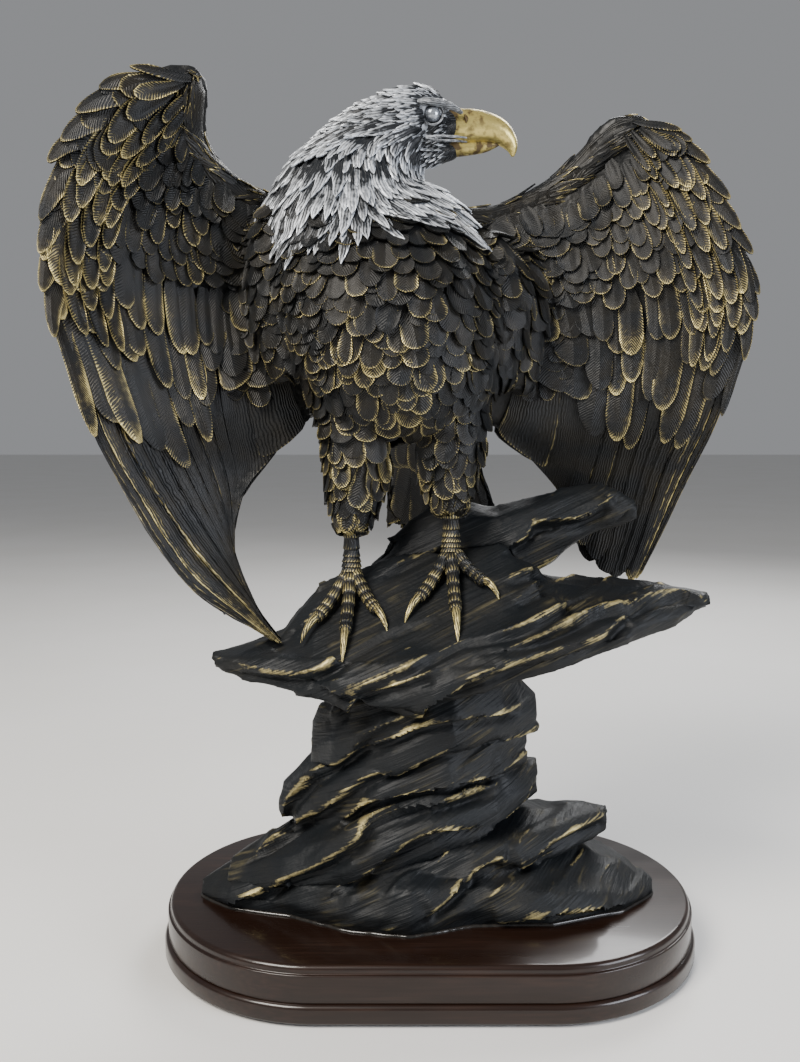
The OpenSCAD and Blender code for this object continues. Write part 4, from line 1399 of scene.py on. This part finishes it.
class EAGLE_OT_beak(Operator):
    """Models the hooked beak with its nostrils"""

    bl_idname = "eagle.beak"
    bl_label = "Beak"

    def execute(self, context):
        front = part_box("beak")[1].x / MM
        upper = [
            (-33, 323.2, 6.8), (-25, 323.8, 7.0), (-18, 324.2, 6.5), (-12, 323.8, 5.7), (-7, 322.2, 4.7),
            (-3.6, 319.2, 3.4), (-2.0, 316.2, 2.1), (-1.7, 313.4, 0.6),
        ]
        lower = [
            (-34, 315.8, 3.6), (-26, 316.2, 3.3), (-19, 316.6, 2.9), (-13, 317.0, 2.3), (-9, 317.6, 1.3),
            (-7, 317.9, 0.5),
        ]
        parts = [
            tube("upper_beak", on_middle(upper, front), 32, 56),
            tube("lower_beak", on_middle(lower, front), 24, 30, 0.42),
        ]
        # The gold is rubbed off towards the face
        behind = front - points(parts[0])[:, 0]
        worn = np.zeros((len(behind), 3))
        worn[:, 2] = 0.95 - 0.42 * ramp(behind, 12, 25)
        mark(parts[0], worn)
        for side in (-1, 1):
            slit = [
                (front - 20.5, HEAD_MIDDLE + side * 6.1, 327.0, 0.3),
                (front - 20, HEAD_MIDDLE + side * 6.6, 325.6, 0.75),
                (front - 20, HEAD_MIDDLE + side * 6.7, 323.8, 0.3),
            ]
            parts.append(tube("nostril", slit, 8, 12, -0.8))
        obj = joined("beak_cast", parts)
        smooth_shade(obj, 70)
        hand_over(obj, beak_finish(), "gilt_bronze", "beak")
        return {"FINISHED"}


# A point on the ledge between the feet, in millimetres, and how fast the ledge rises along x and y
PERCH = (-11, -8, 151)
PERCH_SLOPE = (0.2, 0.7)


def perch_level(x, y):
    """Height of the ledge under the feet."""
    return PERCH[2] + PERCH_SLOPE[0] * (x - PERCH[0]) + PERCH_SLOPE[1] * (y - PERCH[1])


class EAGLE_OT_feet(Operator):
    """Models the scaled legs, toes and claws"""

    bl_idname = "eagle.feet"
    bl_label = "Feet"

    def toe(self, root, tip, number):
        """One toe with its scutes, and its claw."""

        def at(share, height, radius):
            x, y = root[0] + (tip[0] - root[0]) * share, root[1] + (tip[1] - root[1]) * share
            return (x, y, perch_level(x, y) + height, radius)

        digit = [
            at(-0.05, 8.2, 2.9), at(0.12, 7.2, 2.8), at(0.3, 5.4, 2.5), at(0.5, 4.2, 2.3),
            at(0.66, 3.8, 2.3), at(0.74, 3.8, 1.6),
        ]
        claw = [
            at(0.66, 4.0, 1.5), at(0.78, 4.6, 1.5), at(0.89, 3.9, 1.15), at(0.97, 2.3, 0.7),
            at(1.01, 0.7, 0.22),
        ]
        return [
            tube("toe", digit, 16, number * 8, 0.62, lambda share: (share * number) % 1),
            tube("claw", claw, 12, 18, 0.95),
        ]

    def execute(self, context):
        material = bronze_finish()
        legs = {
            "right_foot": ((-31, -8), [(-49, -28), (-33, -39), (-17, -30), (-33, 1)], 179),
            "left_foot": ((8, -8), [(-10, -28), (9, -40), (25, -26), (10, 0)], 186),
        }
        for name, ((x, y), tips, ankle) in legs.items():
            ground = perch_level(x, y)
            shank = [
                (x, y, ankle + 3, 3.3), (x, y, ankle - 4, 3.3), (x, y, ground + 16, 3.1),
                (x, y - 0.5, ground + 10, 3.7), (x, y - 1, ground + 6.0, 3.9),
            ]
            parts = [tube("shank", shank, 20, 80, 0.6, lambda share: (share * 10) % 1)]
            for i, tip in enumerate(tips):
                parts += self.toe((x, y), tip, 8 if i < 3 else 4)
            obj = joined(name + "_cast", parts)
            # Claws and scutes have no outline of their own: the whole of them is rubbed
            mark_rim(obj, np.full(len(obj.data.vertices), 0.86))
            smooth_shade(obj, 60)
            hand_over(obj, material, "gilt_bronze", name)
        return {"FINISHED"}


class EAGLE_OT_fixings(Operator):
    """Finishes the pads, screws, bolts, inserts, dowels, rods and pins"""

    bl_idname = "eagle.fixings"
    bl_label = "Fixings and pads"

    def execute(self, context):
        finish = settings("finish")
        rubber = plain_finish("moulded_rubber", finish.rubber, linear("#262627"), 0.0, 0.7, 0.85, 900.0)
        steel = plain_finish("zinc_plated_steel", finish.steel, linear("#8D9094"), 1.0, 0.28, 0.42, 1200.0)
        brass = plain_finish("turned_brass", finish.brass, linear("#9A7A3A"), 1.0, 0.25, 0.35, 1200.0)
        paint_nodes(["foot_pads"], rubber)
        paint_nodes(
            ["board_screws", "mounting_bolts", "mounting_washers", "rock_dowels", "leg_rods",
             "right_wing_pins", "left_wing_pins", "neck_pin", "tail_pin", "beak_pin"],
            steel,
        )
        paint_nodes(["threaded_inserts"], brass)
        return {"FINISHED"}


class EAGLE_OT_stage(Operator):
    """Sets the floor, the soft lights and the camera"""

    bl_idname = "eagle.stage"
    bl_label = "Stage"

    @staticmethod
    def light(name, place, target, size, power, colour):
        """A large soft light that faces a point."""
        bpy.ops.object.light_add(type="AREA", location=place)
        lamp = bpy.context.active_object
        lamp.name = name
        lamp.data.size = size
        lamp.data.energy = power
        lamp.data.color = linear(colour)[:3]
        lamp.rotation_euler = (Vector(target) - Vector(place)).to_track_quat("-Z", "Y").to_euler()

    def execute(self, context):
        stage = settings("stage")
        bpy.ops.object.select_all(action="DESELECT")
        bpy.ops.mesh.primitive_plane_add(size=stage.floor_size, location=(0, 0, 0))
        floor = newest("floor")
        floor.data.materials.append(
            plain_finish("pale_paper", linear("#DAD9D6"), linear("#DDDCDA"), 0.0, 0.75, 0.85, 6.0)
        )
        world = bpy.data.worlds.new("soft_room")
        context.scene.world = world
        world.use_nodes = True
        world.node_tree.nodes["Background"].inputs[0].default_value = linear("#E8EAEE")
        world.node_tree.nodes["Background"].inputs[1].default_value = 0.34
        middle = (0, 0, 0.2)
        self.light("key", (-0.5, -0.6, 0.85), middle, 0.45, stage.key, "#FFF9F0")
        self.light("fill", (0.8, -0.5, 0.4), middle, 0.5, stage.fill, "#F2F6FF")
        self.light("back", (0.35, 0.7, 0.8), middle, 0.5, stage.back, "#FFFFFF")
        bpy.ops.object.camera_add(
            location=stage.camera_place, rotation=(math.pi / 2 - stage.camera_fall, 0, 0)
        )
        camera = bpy.context.active_object
        camera.name = "view"
        camera.data.lens = stage.lens
        camera.data.sensor_width = 36
        camera.data.clip_start = 0.01
        context.scene.camera = camera
        return {"FINISHED"}


class VIEW3D_PT_eagle(Panel):
    """Lists the pieces in the order they are made"""

    bl_label = "Eagle statuette"
    bl_space_type = "VIEW_3D"
    bl_region_type = "UI"
    bl_category = "Eagle"

    def draw(self, context):
        for operator in OPERATORS:
            self.layout.operator(operator.bl_idname)
        for group in GROUPS:
            box = self.layout.box()
            box.label(text=group.title())
            values = settings(group)
            for name in GROUPS[group].__annotations__:
                box.prop(values, name)


GROUPS = {
    "plumage": EAGLE_PG_plumage,
    "rock": EAGLE_PG_rock,
    "plinth": EAGLE_PG_plinth,
    "finish": EAGLE_PG_finish,
    "stage": EAGLE_PG_stage,
}
OPERATORS = [
    EAGLE_OT_plinth,
    EAGLE_OT_rock,
    EAGLE_OT_body,
    EAGLE_OT_wings,
    EAGLE_OT_head,
    EAGLE_OT_beak,
    EAGLE_OT_feet,
    EAGLE_OT_fixings,
    EAGLE_OT_stage,
]


def register():
    """Registers the settings, the operators and the panel."""
    for name, group in GROUPS.items():
        bpy.utils.register_class(group)
        setattr(bpy.types.Scene, "eagle_" + name, PointerProperty(type=group))
    for item in OPERATORS + [VIEW3D_PT_eagle]:
        bpy.utils.register_class(item)


def unregister():
    """Takes all of it away again."""
    for item in reversed(OPERATORS + [VIEW3D_PT_eagle]):
        bpy.utils.unregister_class(item)
    for name, group in GROUPS.items():
        delattr(bpy.types.Scene, "eagle_" + name)
        bpy.utils.unregister_class(group)


def main():
    """Builds every piece."""
    register()
    bpy.ops.object.select_all(action="DESELECT")
    for operator in OPERATORS:
        group, name = operator.bl_idname.split(".")
        if getattr(getattr(bpy.ops, group), name)() != {"FINISHED"}:
            raise RuntimeError(operator.bl_label + " was not finished")


if __name__ == "__main__":
    main()
